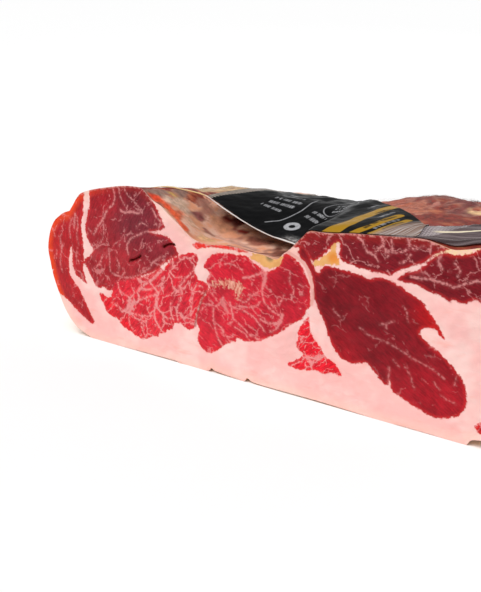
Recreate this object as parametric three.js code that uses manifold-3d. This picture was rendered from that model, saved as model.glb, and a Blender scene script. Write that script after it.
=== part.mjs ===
// Half of a boneless dry-cured ham, cut across and lying on its fat side, with the part of its
// vacuum bag that still covers the rear and the adhesive label on that bag.
//
// Millimetres, +Z up. X runs along the cut face, Y from the cut face towards the rounded end.
// The origin is on the surface that the ham lies on, under the middle of the object.
//
// All three pieces come from one surface. A box is divided into a grid, and each of its points
// (u from left to right, v from front to back, w from bottom to top) is moved onto the ham.
// The bag and the label are thin shells between two copies of that surface, set further out.

import * as THREE from "three";
import { mergeVertices } from "three/addons/utils/BufferGeometryUtils.js";
import Module from "manifold-3d";

// ---- Driving dimensions ------------------------------------------------------------------

const HAM_WIDTH = 285; // along the cut face, over its widest line
const HAM_HEIGHT = 94; // from the resting face to the highest ridge
const HAM_DEPTH = 190; // from the cut face to the end of the ham
const END_BULGE = 12; // how far the middle of the end stands out past its rim
const END_LIFT = 16; // how far the fat side curves up at the end

const GROOVE_DEPTH = 21.5; // the hollow that boning leaves along the top
const GROOVE_FLOOR = 46; // width of its floor
const GROOVE_CENTRE_X = -15;
const GROOVE_LEFT_SLOPE = 38; // how far each side runs out, the right one being steeper
const GROOVE_RIGHT_SLOPE = 19;
const GROOVE_FADE = 0.65; // share of its depth that is gone at the end of the ham

const BAG_CLEARANCE = 1.0; // gap between the ham and the bag
const BAG_THICKNESS = 0.6;
const BAG_BRIDGE = 9.5; // how high the bag stays above the groove's floor at the cut face
const BAG_HEM_HEIGHT = 14; // the bag's lower edge above the resting face
const LABEL_GAP = 0.3; // gap between the bag and the label
const LABEL_THICKNESS = 0.4;

// Numbers of grid steps: enough for the shape, since every piece stays faceted.
const STEPS_ACROSS = 34;
const STEPS_BACK = 15;
const STEPS_UP = 10;
const PROFILE_SAMPLES = 200;

// ---- Outlines ----------------------------------------------------------------------------

// The cut face as drawn, 285 wide and 94 high. Its four sides run between four corners.
const DRAWN_WIDTH = 285;
const DRAWN_HEIGHT = 94;
const BOTTOM_LEFT = [-124, 4];
const BOTTOM_RIGHT = [127, 6];
const TOP_LEFT = [-119, 81];
const TOP_RIGHT = [126, 90];
const SOLE = [BOTTOM_LEFT, [-115, 0.8], [-106, 0], [-70, 0], [70, 0], [108, 0], [118, 1.5], BOTTOM_RIGHT];
const CROWN = [TOP_LEFT, [-106, 89], [-92, 92], [-78, 94], [-45, 92], [-10, 89], [27, 88], [58, 91],
  [83, 92], [97, 91], [110, 93], TOP_RIGHT];
const LEFT_SIDE = [BOTTOM_LEFT, [-133, 15], [-139, 31], [-142.5, 49], [-140, 60], [-133, 68], [-125, 74],
  TOP_LEFT];
const RIGHT_SIDE = [BOTTOM_RIGHT, [136, 20], [141, 38], [142.5, 55], [139, 72], [134, 83], TOP_RIGHT];

// How the left and right halves shrink from the cut face (0) to the end (1): [place, share].
const LEFT_WIDTH = [[0, 1], [0.2, 0.985], [0.4, 0.94], [0.6, 0.84], [0.8, 0.66], [0.92, 0.48], [1, 0.32]];
const RIGHT_WIDTH = [[0, 1], [0.2, 0.99], [0.4, 0.96], [0.6, 0.89], [0.8, 0.75], [0.92, 0.61], [1, 0.48]];
const LEFT_HEIGHT = [[0, 1], [0.1, 0.94], [0.25, 0.87], [0.5, 0.76], [0.75, 0.64], [0.9, 0.5], [1, 0.38]];
const RIGHT_HEIGHT = [[0, 1], [0.4, 0.985], [0.5, 0.955], [0.6, 0.905], [0.75, 0.8], [0.9, 0.63], [1, 0.48]];

// The bag's cut front edge, seen from above: x, and how far behind the cut face it lies.
const BAG_EDGE = [[-160, 30], [-110, 28], [-84, 30], [-60, 36], [-32, 29], [0, 11], [20, 4], [38, 3],
  [62, 5], [84, 12], [112, 24], [160, 34]];
// The label was cut through with the bag, so one square corner of it is left, at the back. Its
// front runs along the bag's edge between these two places.
const LABEL_LEFT_X = -62;
const LABEL_RIGHT_X = 82;
const LABEL_CORNER = [-8, 92];

// ---- The ham's surface -------------------------------------------------------------------

const wasm = await Module();
wasm.setup();

const smooth = (from, to, at) => THREE.MathUtils.smoothstep(at, from, to);
const lerp = THREE.MathUtils.lerp;
const xScale = HAM_WIDTH / DRAWN_WIDTH;
const zScale = HAM_HEIGHT / DRAWN_HEIGHT;
const faceY = -(HAM_DEPTH + BAG_CLEARANCE + BAG_THICKNESS) / 2;
const rimDepth = HAM_DEPTH - END_BULGE;

function curveThrough(points) {
  return new THREE.CatmullRomCurve3(points.map(([a, b]) => new THREE.Vector3(a, b, 0)));
}

const sides = {
  sole: curveThrough(SOLE),
  crown: curveThrough(CROWN),
  left: curveThrough(LEFT_SIDE),
  right: curveThrough(RIGHT_SIDE),
};

// A share that changes along the ham, on a smooth curve through its listed places.
function profile(points) {
  const samples = curveThrough(points).getPoints(PROFILE_SAMPLES);
  return (at) => {
    const next = THREE.MathUtils.clamp(samples.filter((p) => p.x < at).length, 1, PROFILE_SAMPLES);
    const [a, b] = [samples[next - 1], samples[next]];
    return lerp(a.y, b.y, (at - a.x) / (b.x - a.x));
  };
}

const leftWidth = profile(LEFT_WIDTH);
const rightWidth = profile(RIGHT_WIDTH);
const leftHeight = profile(LEFT_HEIGHT);
const rightHeight = profile(RIGHT_HEIGHT);

// 1 over the groove's floor and 0 outside it, at x millimetres from the middle of the cut face.
function grooveShare(x) {
  const floorLeft = GROOVE_CENTRE_X - GROOVE_FLOOR / 2;
  const floorRight = GROOVE_CENTRE_X + GROOVE_FLOOR / 2;
  const left = smooth(floorLeft - GROOVE_LEFT_SLOPE, floorLeft, x);
  const right = 1 - smooth(floorRight, floorRight + GROOVE_RIGHT_SLOPE, x);
  return left * right;
}

// The cut face: the point at u across and w up, blended from its four sides.
function sectionPoint(u, w) {
  const onSole = sides.sole.getPointAt(u);
  const onCrown = sides.crown.getPointAt(u);
  const onLeft = sides.left.getPointAt(w);
  const onRight = sides.right.getPointAt(w);
  const blend = (k) => {
    const corners =
      (1 - u) * ((1 - w) * BOTTOM_LEFT[k] + w * TOP_LEFT[k]) +
      u * ((1 - w) * BOTTOM_RIGHT[k] + w * TOP_RIGHT[k]);
    const part = k === 0 ? "x" : "y";
    return (1 - w) * onSole[part] + w * onCrown[part] + (1 - u) * onLeft[part] + u * onRight[part] - corners;
  };
  return [blend(0) * xScale, Math.max(blend(1), 0) * zScale];
}

// The surface's point at (u, v, w), with a groove of the given depth at the cut face.
function surfacePoint(u, v, w, grooveDepth) {
  const [x, z] = sectionPoint(u, w);
  const rightness = smooth(-HAM_WIDTH / 2, HAM_WIDTH / 2, x);
  const width = lerp(leftWidth(v), rightWidth(v), rightness);
  const height = lerp(leftHeight(v), rightHeight(v), rightness);
  const groove = grooveDepth * (1 - GROOVE_FADE * v) * grooveShare(x) * w;
  const lift = END_LIFT * smooth(0.55, 1, v) * (1 - w);
  const bulge = END_BULGE * v * (1 - (2 * u - 1) ** 2) * (1 - (2 * w - 1) ** 2);
  const onEnd = v === 1 ? bulge : 0;
  return new THREE.Vector3(x * width, faceY + rimDepth * v + onEnd, (z - groove) * height + lift);
}

// The whole surface as a closed geometry, moved outwards by offset.
function surfaceGeometry(grooveDepth, offset) {
  const box = new THREE.BoxGeometry(1, 1, 1, STEPS_ACROSS, STEPS_BACK, STEPS_UP);
  box.deleteAttribute("normal");
  box.deleteAttribute("uv");
  const geometry = mergeVertices(box);
  const position = geometry.attributes.position;
  for (let i = 0; i < position.count; i++) {
    const [u, v, w] = [position.getX(i) + 0.5, position.getY(i) + 0.5, position.getZ(i) + 0.5];
    const p = surfacePoint(u, v, w, grooveDepth);
    position.setXYZ(i, p.x, p.y, p.z);
  }
  geometry.computeVertexNormals();
  const normal = geometry.attributes.normal;
  for (let i = 0; i < position.count; i++) {
    position.setXYZ(
      i,
      position.getX(i) + offset * normal.getX(i),
      position.getY(i) + offset * normal.getY(i),
      position.getZ(i) + offset * normal.getZ(i),
    );
  }
  geometry.deleteAttribute("normal");
  return geometry;
}

// ---- Solids ------------------------------------------------------------------------------

function toSolid(geometry) {
  const merged = mergeVertices(geometry);
  return new wasm.Manifold(
    new wasm.Mesh({
      numProp: 3,
      vertProperties: new Float32Array(merged.attributes.position.array),
      triVerts: new Uint32Array(merged.index.array),
    }),
  );
}

function toGeometry(solid) {
  const { vertProperties, triVerts } = solid.getMesh();
  return new THREE.BufferGeometry()
    .setAttribute("position", new THREE.BufferAttribute(vertProperties, 3))
    .setIndex(new THREE.BufferAttribute(triVerts, 1));
}

// An upright prism over an outline seen from above, whose points give x and distance behind the
// cut face. It reaches from low to high.
function prism(outline, low, high) {
  const shape = new THREE.Shape(outline.map(([x, back]) => new THREE.Vector2(x, faceY + back)));
  const geometry = new THREE.ExtrudeGeometry(shape, { depth: high - low, bevelEnabled: false });
  geometry.translate(0, 0, low);
  geometry.deleteAttribute("normal");
  geometry.deleteAttribute("uv");
  return toSolid(geometry);
}

// A thin layer on the ham, between two offsets. It hangs into the groove no deeper than the bag.
function shell(inner, outer) {
  const within = toSolid(surfaceGeometry(bagSag, inner));
  return toSolid(surfaceGeometry(bagSag, outer)).subtract(within);
}

const bagOuter = BAG_CLEARANCE + BAG_THICKNESS;
const bagSag = Math.max(GROOVE_DEPTH - BAG_BRIDGE, 0);
const bagEdge = curveThrough(BAG_EDGE.map(([x, back]) => [x * xScale, back]))
  .getPoints(48)
  .map((p) => [p.x, p.y]);
const beyond = 2 * HAM_WIDTH;

function bagSolid() {
  const inFront = prism([...bagEdge, [beyond, -beyond], [-beyond, -beyond]], -beyond, beyond);
  const underneath = prism(
    [[-beyond, -beyond], [beyond, -beyond], [beyond, beyond], [-beyond, beyond]],
    -beyond,
    BAG_HEM_HEIGHT,
  );
  return shell(BAG_CLEARANCE, bagOuter).subtract(inFront).subtract(underneath);
}

function labelSolid() {
  const front = bagEdge.filter(([x]) => x > LABEL_LEFT_X * xScale && x < LABEL_RIGHT_X * xScale);
  const outline = [...front, [LABEL_CORNER[0] * xScale, LABEL_CORNER[1]]];
  const gap = bagOuter + LABEL_GAP;
  return shell(gap, gap + LABEL_THICKNESS).intersect(prism(outline, HAM_HEIGHT / 3, beyond));
}

// ---- The object --------------------------------------------------------------------------

const materials = {
  ham: new THREE.MeshStandardMaterial({ color: 0xa8323c, roughness: 0.45, metalness: 0 }),
  vacuum_bag: new THREE.MeshStandardMaterial({
    color: 0xe8e6e2,
    roughness: 0.12,
    metalness: 0,
    transparent: true,
    opacity: 0.3,
  }),
  front_label: new THREE.MeshStandardMaterial({ color: 0x161617, roughness: 0.3, metalness: 0 }),
};

function piece(name, geometry) {
  const mesh = new THREE.Mesh(geometry, materials[name]);
  mesh.name = name;
  return mesh;
}

const curedHam = new THREE.Group();
curedHam.add(piece("ham", surfaceGeometry(GROOVE_DEPTH, 0)));
curedHam.add(piece("vacuum_bag", toGeometry(bagSolid())));
curedHam.add(piece("front_label", toGeometry(labelSolid())));

export default curedHam;
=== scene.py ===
"""Half of a dry-cured ham, cut face bare, in its opened vacuum bag with a dark label on it.

Lengths in the tables are millimetres in the ham's own frame: x along the cut face from its
middle, z up from the surface it lies on, and "back" the distance behind the cut face.
"""

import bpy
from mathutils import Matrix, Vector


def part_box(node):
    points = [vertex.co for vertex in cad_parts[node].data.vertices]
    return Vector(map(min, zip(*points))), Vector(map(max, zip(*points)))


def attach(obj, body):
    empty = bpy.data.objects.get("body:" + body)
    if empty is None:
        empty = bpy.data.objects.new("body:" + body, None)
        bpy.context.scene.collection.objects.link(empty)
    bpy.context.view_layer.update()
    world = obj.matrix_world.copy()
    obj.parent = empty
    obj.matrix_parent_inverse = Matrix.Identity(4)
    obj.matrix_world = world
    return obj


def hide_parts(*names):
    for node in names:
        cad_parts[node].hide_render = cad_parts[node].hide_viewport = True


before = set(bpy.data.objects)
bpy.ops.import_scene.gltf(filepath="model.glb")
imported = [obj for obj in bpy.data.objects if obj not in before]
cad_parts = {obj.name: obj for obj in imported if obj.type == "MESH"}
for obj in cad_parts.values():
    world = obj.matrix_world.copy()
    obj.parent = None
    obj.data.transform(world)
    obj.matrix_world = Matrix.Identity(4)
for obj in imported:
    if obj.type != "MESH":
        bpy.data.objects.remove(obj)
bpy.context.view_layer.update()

import math

import bmesh
import bpy
import numpy as np
from mathutils import Vector

MM = 0.001
HAM_LOW, HAM_HIGH = (np.array(corner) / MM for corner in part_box("ham"))
FACE_Y = HAM_LOW[1]
DEPTH = HAM_HIGH[1] - HAM_LOW[1]
DRAWN_WIDTH, DRAWN_HEIGHT = 285.0, 94.0  # the cut face as the tables below draw it
X_SCALE = (HAM_HIGH[0] - HAM_LOW[0]) / DRAWN_WIDTH
Z_SCALE = (HAM_HIGH[2] - HAM_LOW[2]) / DRAWN_HEIGHT

# ---- The ham's outlines ------------------------------------------------------------------

# The cut face's edge, in four stretches between four corners.
BOTTOM_LEFT, BOTTOM_RIGHT = (-124, 4), (127, 6)
TOP_LEFT, TOP_RIGHT = (-119, 81), (126, 90)
SOLE_CUT = [BOTTOM_LEFT, (-116, 1), (-108, 0), (-70, 0.5), (-53, 0.6), (-51, 0), (-33, 0), (-30, 2.6),
            (-27, 1.2), (-12, 0.2), (-9, 0), (-7.5, 2.4), (-4, 1.0), (6, 0.6), (34, 0.8), (52, 0.4), (70, 0),
            (84, 0.3), (108, 0), (111, 0), (113, 3), (119, 4.5), BOTTOM_RIGHT]
SOLE_BACK = [BOTTOM_LEFT, (-115, 0.8), (-106, 0), (-70, 0), (70, 0), (108, 0), (118, 1.5), BOTTOM_RIGHT]
CROWN_CUT = [TOP_LEFT, (-115, 85), (-106, 88.5), (-94, 91.5), (-86, 93.2), (-79, 94), (-73, 93.8),
             (-70, 91.5), (-66, 88.5), (-60, 86), (-55, 82), (-49, 78), (-44, 74), (-39, 71.4), (-31, 70.6),
             (-24, 71.6), (-14, 72), (-6, 71.2), (1, 71), (9, 70), (13, 73.6), (17, 77), (20, 80.4),
             (24, 84.6), (27, 87), (38, 88), (48, 89.6), (58, 90.6), (72, 92), (83, 93), (90, 92), (97, 90.6),
             (104, 92), (110, 93.6), (118, 92.6), TOP_RIGHT]
CROWN_BACK = [TOP_LEFT, (-106, 89), (-92, 92), (-78, 94), (-45, 92), (-10, 89), (27, 88.5), (46, 91.5),
              (62, 92.5), (80, 91.5), (97, 90.5), (110, 92), TOP_RIGHT]
LEFT_CUT = [BOTTOM_LEFT, (-129, 9), (-133, 15), (-136.5, 23), (-140, 33), (-141.5, 41), (-142.5, 49),
            (-140.5, 58), (-137, 65), (-132.5, 69.3), (-126.5, 71.5), (-122.5, 76), TOP_LEFT]
LEFT_BACK = [BOTTOM_LEFT, (-133, 15), (-139, 31), (-142.5, 49), (-140, 60), (-133, 68), (-125, 74), TOP_LEFT]
RIGHT_SIDE = [BOTTOM_RIGHT, (136, 20), (141, 38), (142.5, 55), (139, 72), (134, 83), TOP_RIGHT]

# Shares of the width and height of each half, from the cut face (0) to the end (1).
LEFT_WIDTH = [(0, 1), (0.2, 0.985), (0.4, 0.94), (0.6, 0.84), (0.8, 0.66), (0.92, 0.48), (1, 0.32)]
RIGHT_WIDTH = [(0, 1), (0.2, 0.99), (0.4, 0.96), (0.6, 0.89), (0.8, 0.75), (0.92, 0.61), (1, 0.48)]
LEFT_HEIGHT = [(0, 1), (0.1, 0.94), (0.25, 0.87), (0.5, 0.76), (0.75, 0.64), (0.9, 0.5), (1, 0.38)]
RIGHT_HEIGHT = [(0, 1), (0.25, 1.01), (0.4, 1.02), (0.5, 0.99), (0.6, 0.935), (0.75, 0.82), (0.9, 0.64),
                (1, 0.48)]

END_BULGE = 12  # how far the middle of the end stands out past its rim
END_LIFT = 16  # how far the fat side curves up at the end
GROOVE_DEPTH = 21.5  # the hollow that boning leaves along the top
GROOVE_FLOOR = (-38, 8)
GROOVE_SLOPES = (38, 19)
GROOVE_FADES = (22, 84)  # where the hollow starts to fill behind the cut, and where little is left
GROOVE_LEFT_OVER = 0.2
CUT_FADE = 9.0  # how far behind the cut its sharp edge shape is lost

# The bag's cut front edge: x, and how far behind the cut face it lies.
BAG_EDGE = [(-160, 30), (-110, 30), (-84, 32), (-66, 35.4), (-58.7, 36.4), (-50.9, 33.7), (-42.6, 30.4),
            (-31, 28.2), (-19, 26.5), (-11.5, 25.6), (-5, 24.6), (1, 23.2), (7, 21.6), (12, 18),
            (18, 10), (24, 3), (30, 0.6), (38, 0.3), (62, 0.3), (84, 1.5), (94, 4), (112, 12), (160, 30)]
BAG_GROOVE = 15.0  # how deep the bag hangs into the groove at the cut
BAG_TIGHT_FROM, BAG_TIGHT_AT = 26.0, 66.0  # where the film leaves the groove, and where it spans it
BAG_TIGHTNESS = 0.95
BAG_SLACK = 0.75  # how much less tight it is over the middle
BAG_STANDOFF = 0.3
# The loose flap at the right: the line it ends along, how high it stands, where it starts.
FLAP_LINE = ((76, 17), 0.8)
FLAP_HEIGHT = 2.4
FLAP_FROM = 64.0
SEAL_LINE = [(68, -4), (74.4, 2.7), (80, 9), (84.3, 16), (89, 26), (96, 40)]
# the bright crease is a painted highlight on the flap
GLINT_LINE = ((83.5, 11.4), (0.66, -0.75))  # a point of the bright crease, and the way across it
BAG_HEM = 14.0
BAG_FILM = 0.3

# ---- The cut face's muscles --------------------------------------------------------------

# Each muscle: outline, colour, amount of marbling, direction of its fibres in degrees.
MUSCLES = {
    "outer_lobe": dict(
        edge=[(-112, 90), (-116, 85), (-121, 79), (-125, 75), (-129, 73), (-134, 71), (-139, 67),
              (-142, 60), (-144, 52), (-145, 45), (-143, 38), (-139.5, 36), (-142, 33), (-140.5, 27),
              (-136, 23), (-131, 20), (-124, 15), (-118, 11), (-114, 9), (-111, 9.5), (-112, 13),
              (-115, 18), (-118, 24), (-120, 28), (-123, 31), (-126, 34), (-127.3, 38), (-127.3, 43),
              (-126, 48), (-124.6, 53), (-124, 47), (-124.4, 42), (-123, 37), (-119, 34.4), (-115, 32),
              (-116, 36), (-117, 41), (-115.6, 46), (-115.4, 52), (-116.2, 60), (-116.4, 67), (-114, 75),
              (-113.5, 82)],
        flesh=(0.46, 0.0156, 0.0224), marbling=0.30, fibres=80),
    "top_muscle": dict(
        edge=[(-108.5, 92), (-103, 94), (-90, 96), (-78, 98), (-70, 96), (-66, 89), (-62, 83),
              (-58.5, 77), (-58, 75), (-63, 72.2), (-68, 71.2), (-63, 70.6), (-58, 71), (-54.6, 69),
              (-52, 66), (-50, 61.5), (-55, 58.5), (-60, 54.5), (-65, 50), (-71, 47), (-80, 42),
              (-88, 36), (-96, 33), (-99, 32), (-102, 33.4), (-105, 32), (-108, 32.4), (-111, 37),
              (-113.6, 42), (-115, 44.6), (-114, 48), (-109.6, 52), (-109, 54.5), (-112, 59),
              (-113.8, 64), (-112.6, 70), (-109.6, 78), (-109, 84)],
        flesh=(0.4, 0.0172, 0.0258), marbling=0.34, fibres=60),
    "left_marbled": dict(
        edge=[(-106, 28.5), (-103, 29), (-99, 28), (-96, 31), (-97, 38), (-93, 42), (-86, 44),
              (-79, 44.5), (-73, 45), (-68, 47.6), (-62, 52), (-59.6, 51.6), (-57, 55.6), (-52, 60),
              (-46, 63), (-40, 64.6), (-37, 63), (-38, 59), (-39.5, 55), (-38, 51), (-34, 50), (-31, 48),
              (-33.4, 43.5), (-37, 37.5), (-39, 31), (-40, 24), (-42, 21.6), (-45, 21), (-48, 22.4),
              (-51, 23.2), (-54, 22), (-55, 18.4), (-58, 17.6), (-60.4, 15), (-64, 14), (-66, 11.6),
              (-70, 11), (-73, 8.6), (-78, 8.2), (-83, 10), (-88, 11.6), (-92, 14.6), (-95, 16.6),
              (-99, 17.4), (-102, 21), (-104, 24.6)],
        flesh=(0.72, 0.0211, 0.0387), marbling=0.62, fibres=55),
    "centre_muscle": dict(
        edge=[(-34, 58.5), (-31.4, 63), (-27, 66.4), (-20, 68.2), (-14, 68.4), (-8, 68.6), (-5, 66.6),
              (-1, 65), (3, 62.6), (8, 65), (11, 68), (13.4, 74), (19, 72.6), (23, 69.4), (26, 65),
              (28, 60), (28.6, 54), (28, 50), (25.6, 45.6), (24, 42), (20, 39.4), (16, 36.4), (12.6, 33),
              (8, 30), (3, 26.6), (-2, 24.2), (-8, 23), (-13, 23.6), (-14.6, 21.6), (-18, 19.6),
              (-21, 18), (-24, 15), (-28, 12), (-32, 10.4), (-35.6, 12.4), (-38.4, 16), (-38.4, 19.4),
              (-37, 22.6), (-39, 25.6), (-38.6, 31), (-36, 38.6), (-32, 45), (-30.6, 48), (-32.4, 51.6),
              (-30, 55), (-32, 57)],
        flesh=(0.64, 0.0187, 0.0378), marbling=0.36, fibres=-28),
    "wedge": dict(
        edge=[(27.4, 45), (26, 42.6), (24, 39.4), (22, 35.6), (22, 31.6), (20.8, 28), (22, 25.6),
              (25, 24.4), (22.4, 20.6), (16, 16.4), (21, 14.8), (26.4, 15.4), (33, 17), (37.4, 16.2),
              (41, 18), (46.4, 17.6), (43.6, 22.6), (41, 24.8), (37, 26.4), (35, 29.8), (32, 32.4),
              (29.4, 36), (28, 40.6)],
        flesh=(0.8, 0.0101, 0.0267), marbling=1.0, fibres=35),
    "dark_muscle": dict(
        edge=[(22.8, 80), (26.6, 76.5), (29.8, 70), (32, 67.6), (35, 71.4), (38.6, 72.2), (44, 72),
              (49, 71.4), (54, 70.8), (59, 69.8), (62, 71), (66, 71.6), (71, 70.6), (75, 69), (79, 67),
              (84, 65), (88, 60.4), (92, 56), (95.4, 51), (96.2, 48.6), (93.4, 50.6), (91, 52.6),
              (88.4, 52), (86.4, 51.6), (84.8, 50), (85.2, 47.8), (89, 45.4), (93, 43), (97.4, 40),
              (102, 36), (105.6, 32.6), (108, 28), (109.2, 20), (107.4, 14.8), (103.6, 11.8), (97, 9.4),
              (92, 9.8), (87.6, 11), (82.6, 12.6), (77, 14.8), (73.4, 16.4), (72, 18.6), (71.4, 21.4),
              (70.2, 18.6), (66.4, 21), (64.6, 23.4), (62, 25.4), (59, 27.8), (54, 26.2), (50, 25.6),
              (45.6, 27.2), (42, 31), (39, 36), (36, 43), (32.6, 49.6), (30.4, 55), (29.6, 61),
              (28.4, 66), (25.6, 70.6), (21, 75)],
        flesh=(0.235, 0.00608, 0.0129), marbling=0.04, fibres=-35),
    "upper_right": dict(
        edge=[(17, 78.6), (21, 84), (25, 90), (34, 92), (54, 95), (72, 96), (86, 96), (95, 93),
              (95, 90.6), (89, 87), (84.2, 82.6), (78, 79.2), (74.6, 77.4), (71.6, 75.6), (69.6, 73.6),
              (66, 73.6), (61, 73.4), (55, 73.8), (49, 74.6), (44, 76), (42.6, 79.6), (42.8, 84.4),
              (39, 82), (36, 78.4), (32, 74.4), (28.6, 73), (25.6, 76), (22.8, 78)],
        flesh=(0.205, 0.00749, 0.0146), marbling=0.42, fibres=-20),
    "right_muscle": dict(
        edge=[(72.4, 72.4), (74.6, 75), (77.6, 77), (82, 78.8), (85.6, 82.6), (89, 86.4), (94, 89),
              (97, 88.4), (102, 89.6), (106, 91), (112, 95), (124, 95), (132, 84), (136.4, 74),
              (135, 68), (130, 65.4), (124, 67), (118, 65.6), (114, 68), (111, 69), (108.4, 70),
              (106, 68.4), (103, 67.2), (99, 68), (97.6, 66.4), (95, 68), (91, 69), (87.6, 69.4),
              (84, 71), (80, 71.8), (76, 71.6)],
        flesh=(0.19, 0.00585, 0.012), marbling=0.34, fibres=-15),
    "crown_streaks": dict(
        edge=[(-41, 69), (-36, 71.4), (-30, 72), (-20, 72.4), (-12, 72.6), (-7, 71.6), (-9, 70.2),
              (-17, 70.2), (-26, 69.8), (-33, 68.4), (-38, 67)],
        flesh=(0.84, 0.0351, 0.0258), marbling=1.0, fibres=2),
    "right_low": dict(
        edge=[(114, 10.6), (117, 13.4), (121, 12.8), (124, 16), (127, 20), (126, 13), (122, 8.6),
              (117, 7)],
        flesh=(0.6, 0.014, 0.0172), marbling=0.8, fibres=30),
    "right_edge_spot": dict(
        edge=[(113, 57), (115, 54), (119, 52.6), (121, 55), (118, 58.4)],
        flesh=(0.62, 0.0187, 0.0172), marbling=0.5, fibres=30),
}

# Lighter and darker areas within the muscles: centre, radius, colour, strength.
FLESH_SHADES = [
    ((-72, 76), 20, (0.17, 0.0195, 0.0318), 0.85),
    ((-84, 73), 12, (0.2, 0.0234, 0.0353), 0.60),
    ((-62, 64), 12, (0.26, 0.0187, 0.0301), 0.60),
    ((-80, 89), 9, (0.17, 0.00749, 0.0155), 0.75),
    ((-98, 84), 10, (0.42, 0.00936, 0.0172), 0.60),
    ((-86, 50), 10, (0.44, 0.0281, 0.0353), 0.45),
    ((-100, 24), 7, (0.84, 0.00655, 0.0155), 0.70),
    ((-88, 14), 6, (0.84, 0.00936, 0.0172), 0.60),
    ((-45, 58), 9, (0.46, 0.0101, 0.0249), 0.70),
    ((-50, 33), 10, (0.56, 0.014, 0.0353), 0.50),
    ((-32, 36), 9, (0.48, 0.0148, 0.0318), 0.50),
    ((-15, 64), 12, (0.66, 0.0109, 0.0292), 0.60),
    ((18, 60), 15, (0.4, 0.00858, 0.0206), 0.85),
    ((2, 34), 9, (0.42, 0.0109, 0.0258), 0.55),
    ((-30, 16), 9, (0.72, 0.0234, 0.0413), 0.50),
    ((102, 20), 18, (0.46, 0.00975, 0.0198), 0.75),
    ((90, 58), 9, (0.46, 0.00468, 0.00705), 0.85),
    ((94, 52), 5, (0.62, 0.00655, 0.00585), 0.90),
    ((46, 30), 12, (0.44, 0.00897, 0.0172), 0.80),
    ((82, 20), 14, (0.42, 0.00897, 0.0189), 0.70),
    ((58, 48), 18, (0.18, 0.00655, 0.0129), 0.50),
    ((48, 68), 16, (0.2, 0.00468, 0.0103), 0.60),
    ((28, 80), 9, (0.3, 0.0101, 0.0163), 0.70),
    ((-136, 50), 9, (0.6, 0.0172, 0.0172), 0.55),
    ((-118, 14), 9, (0.36, 0.0101, 0.0172), 0.50),
]

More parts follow.
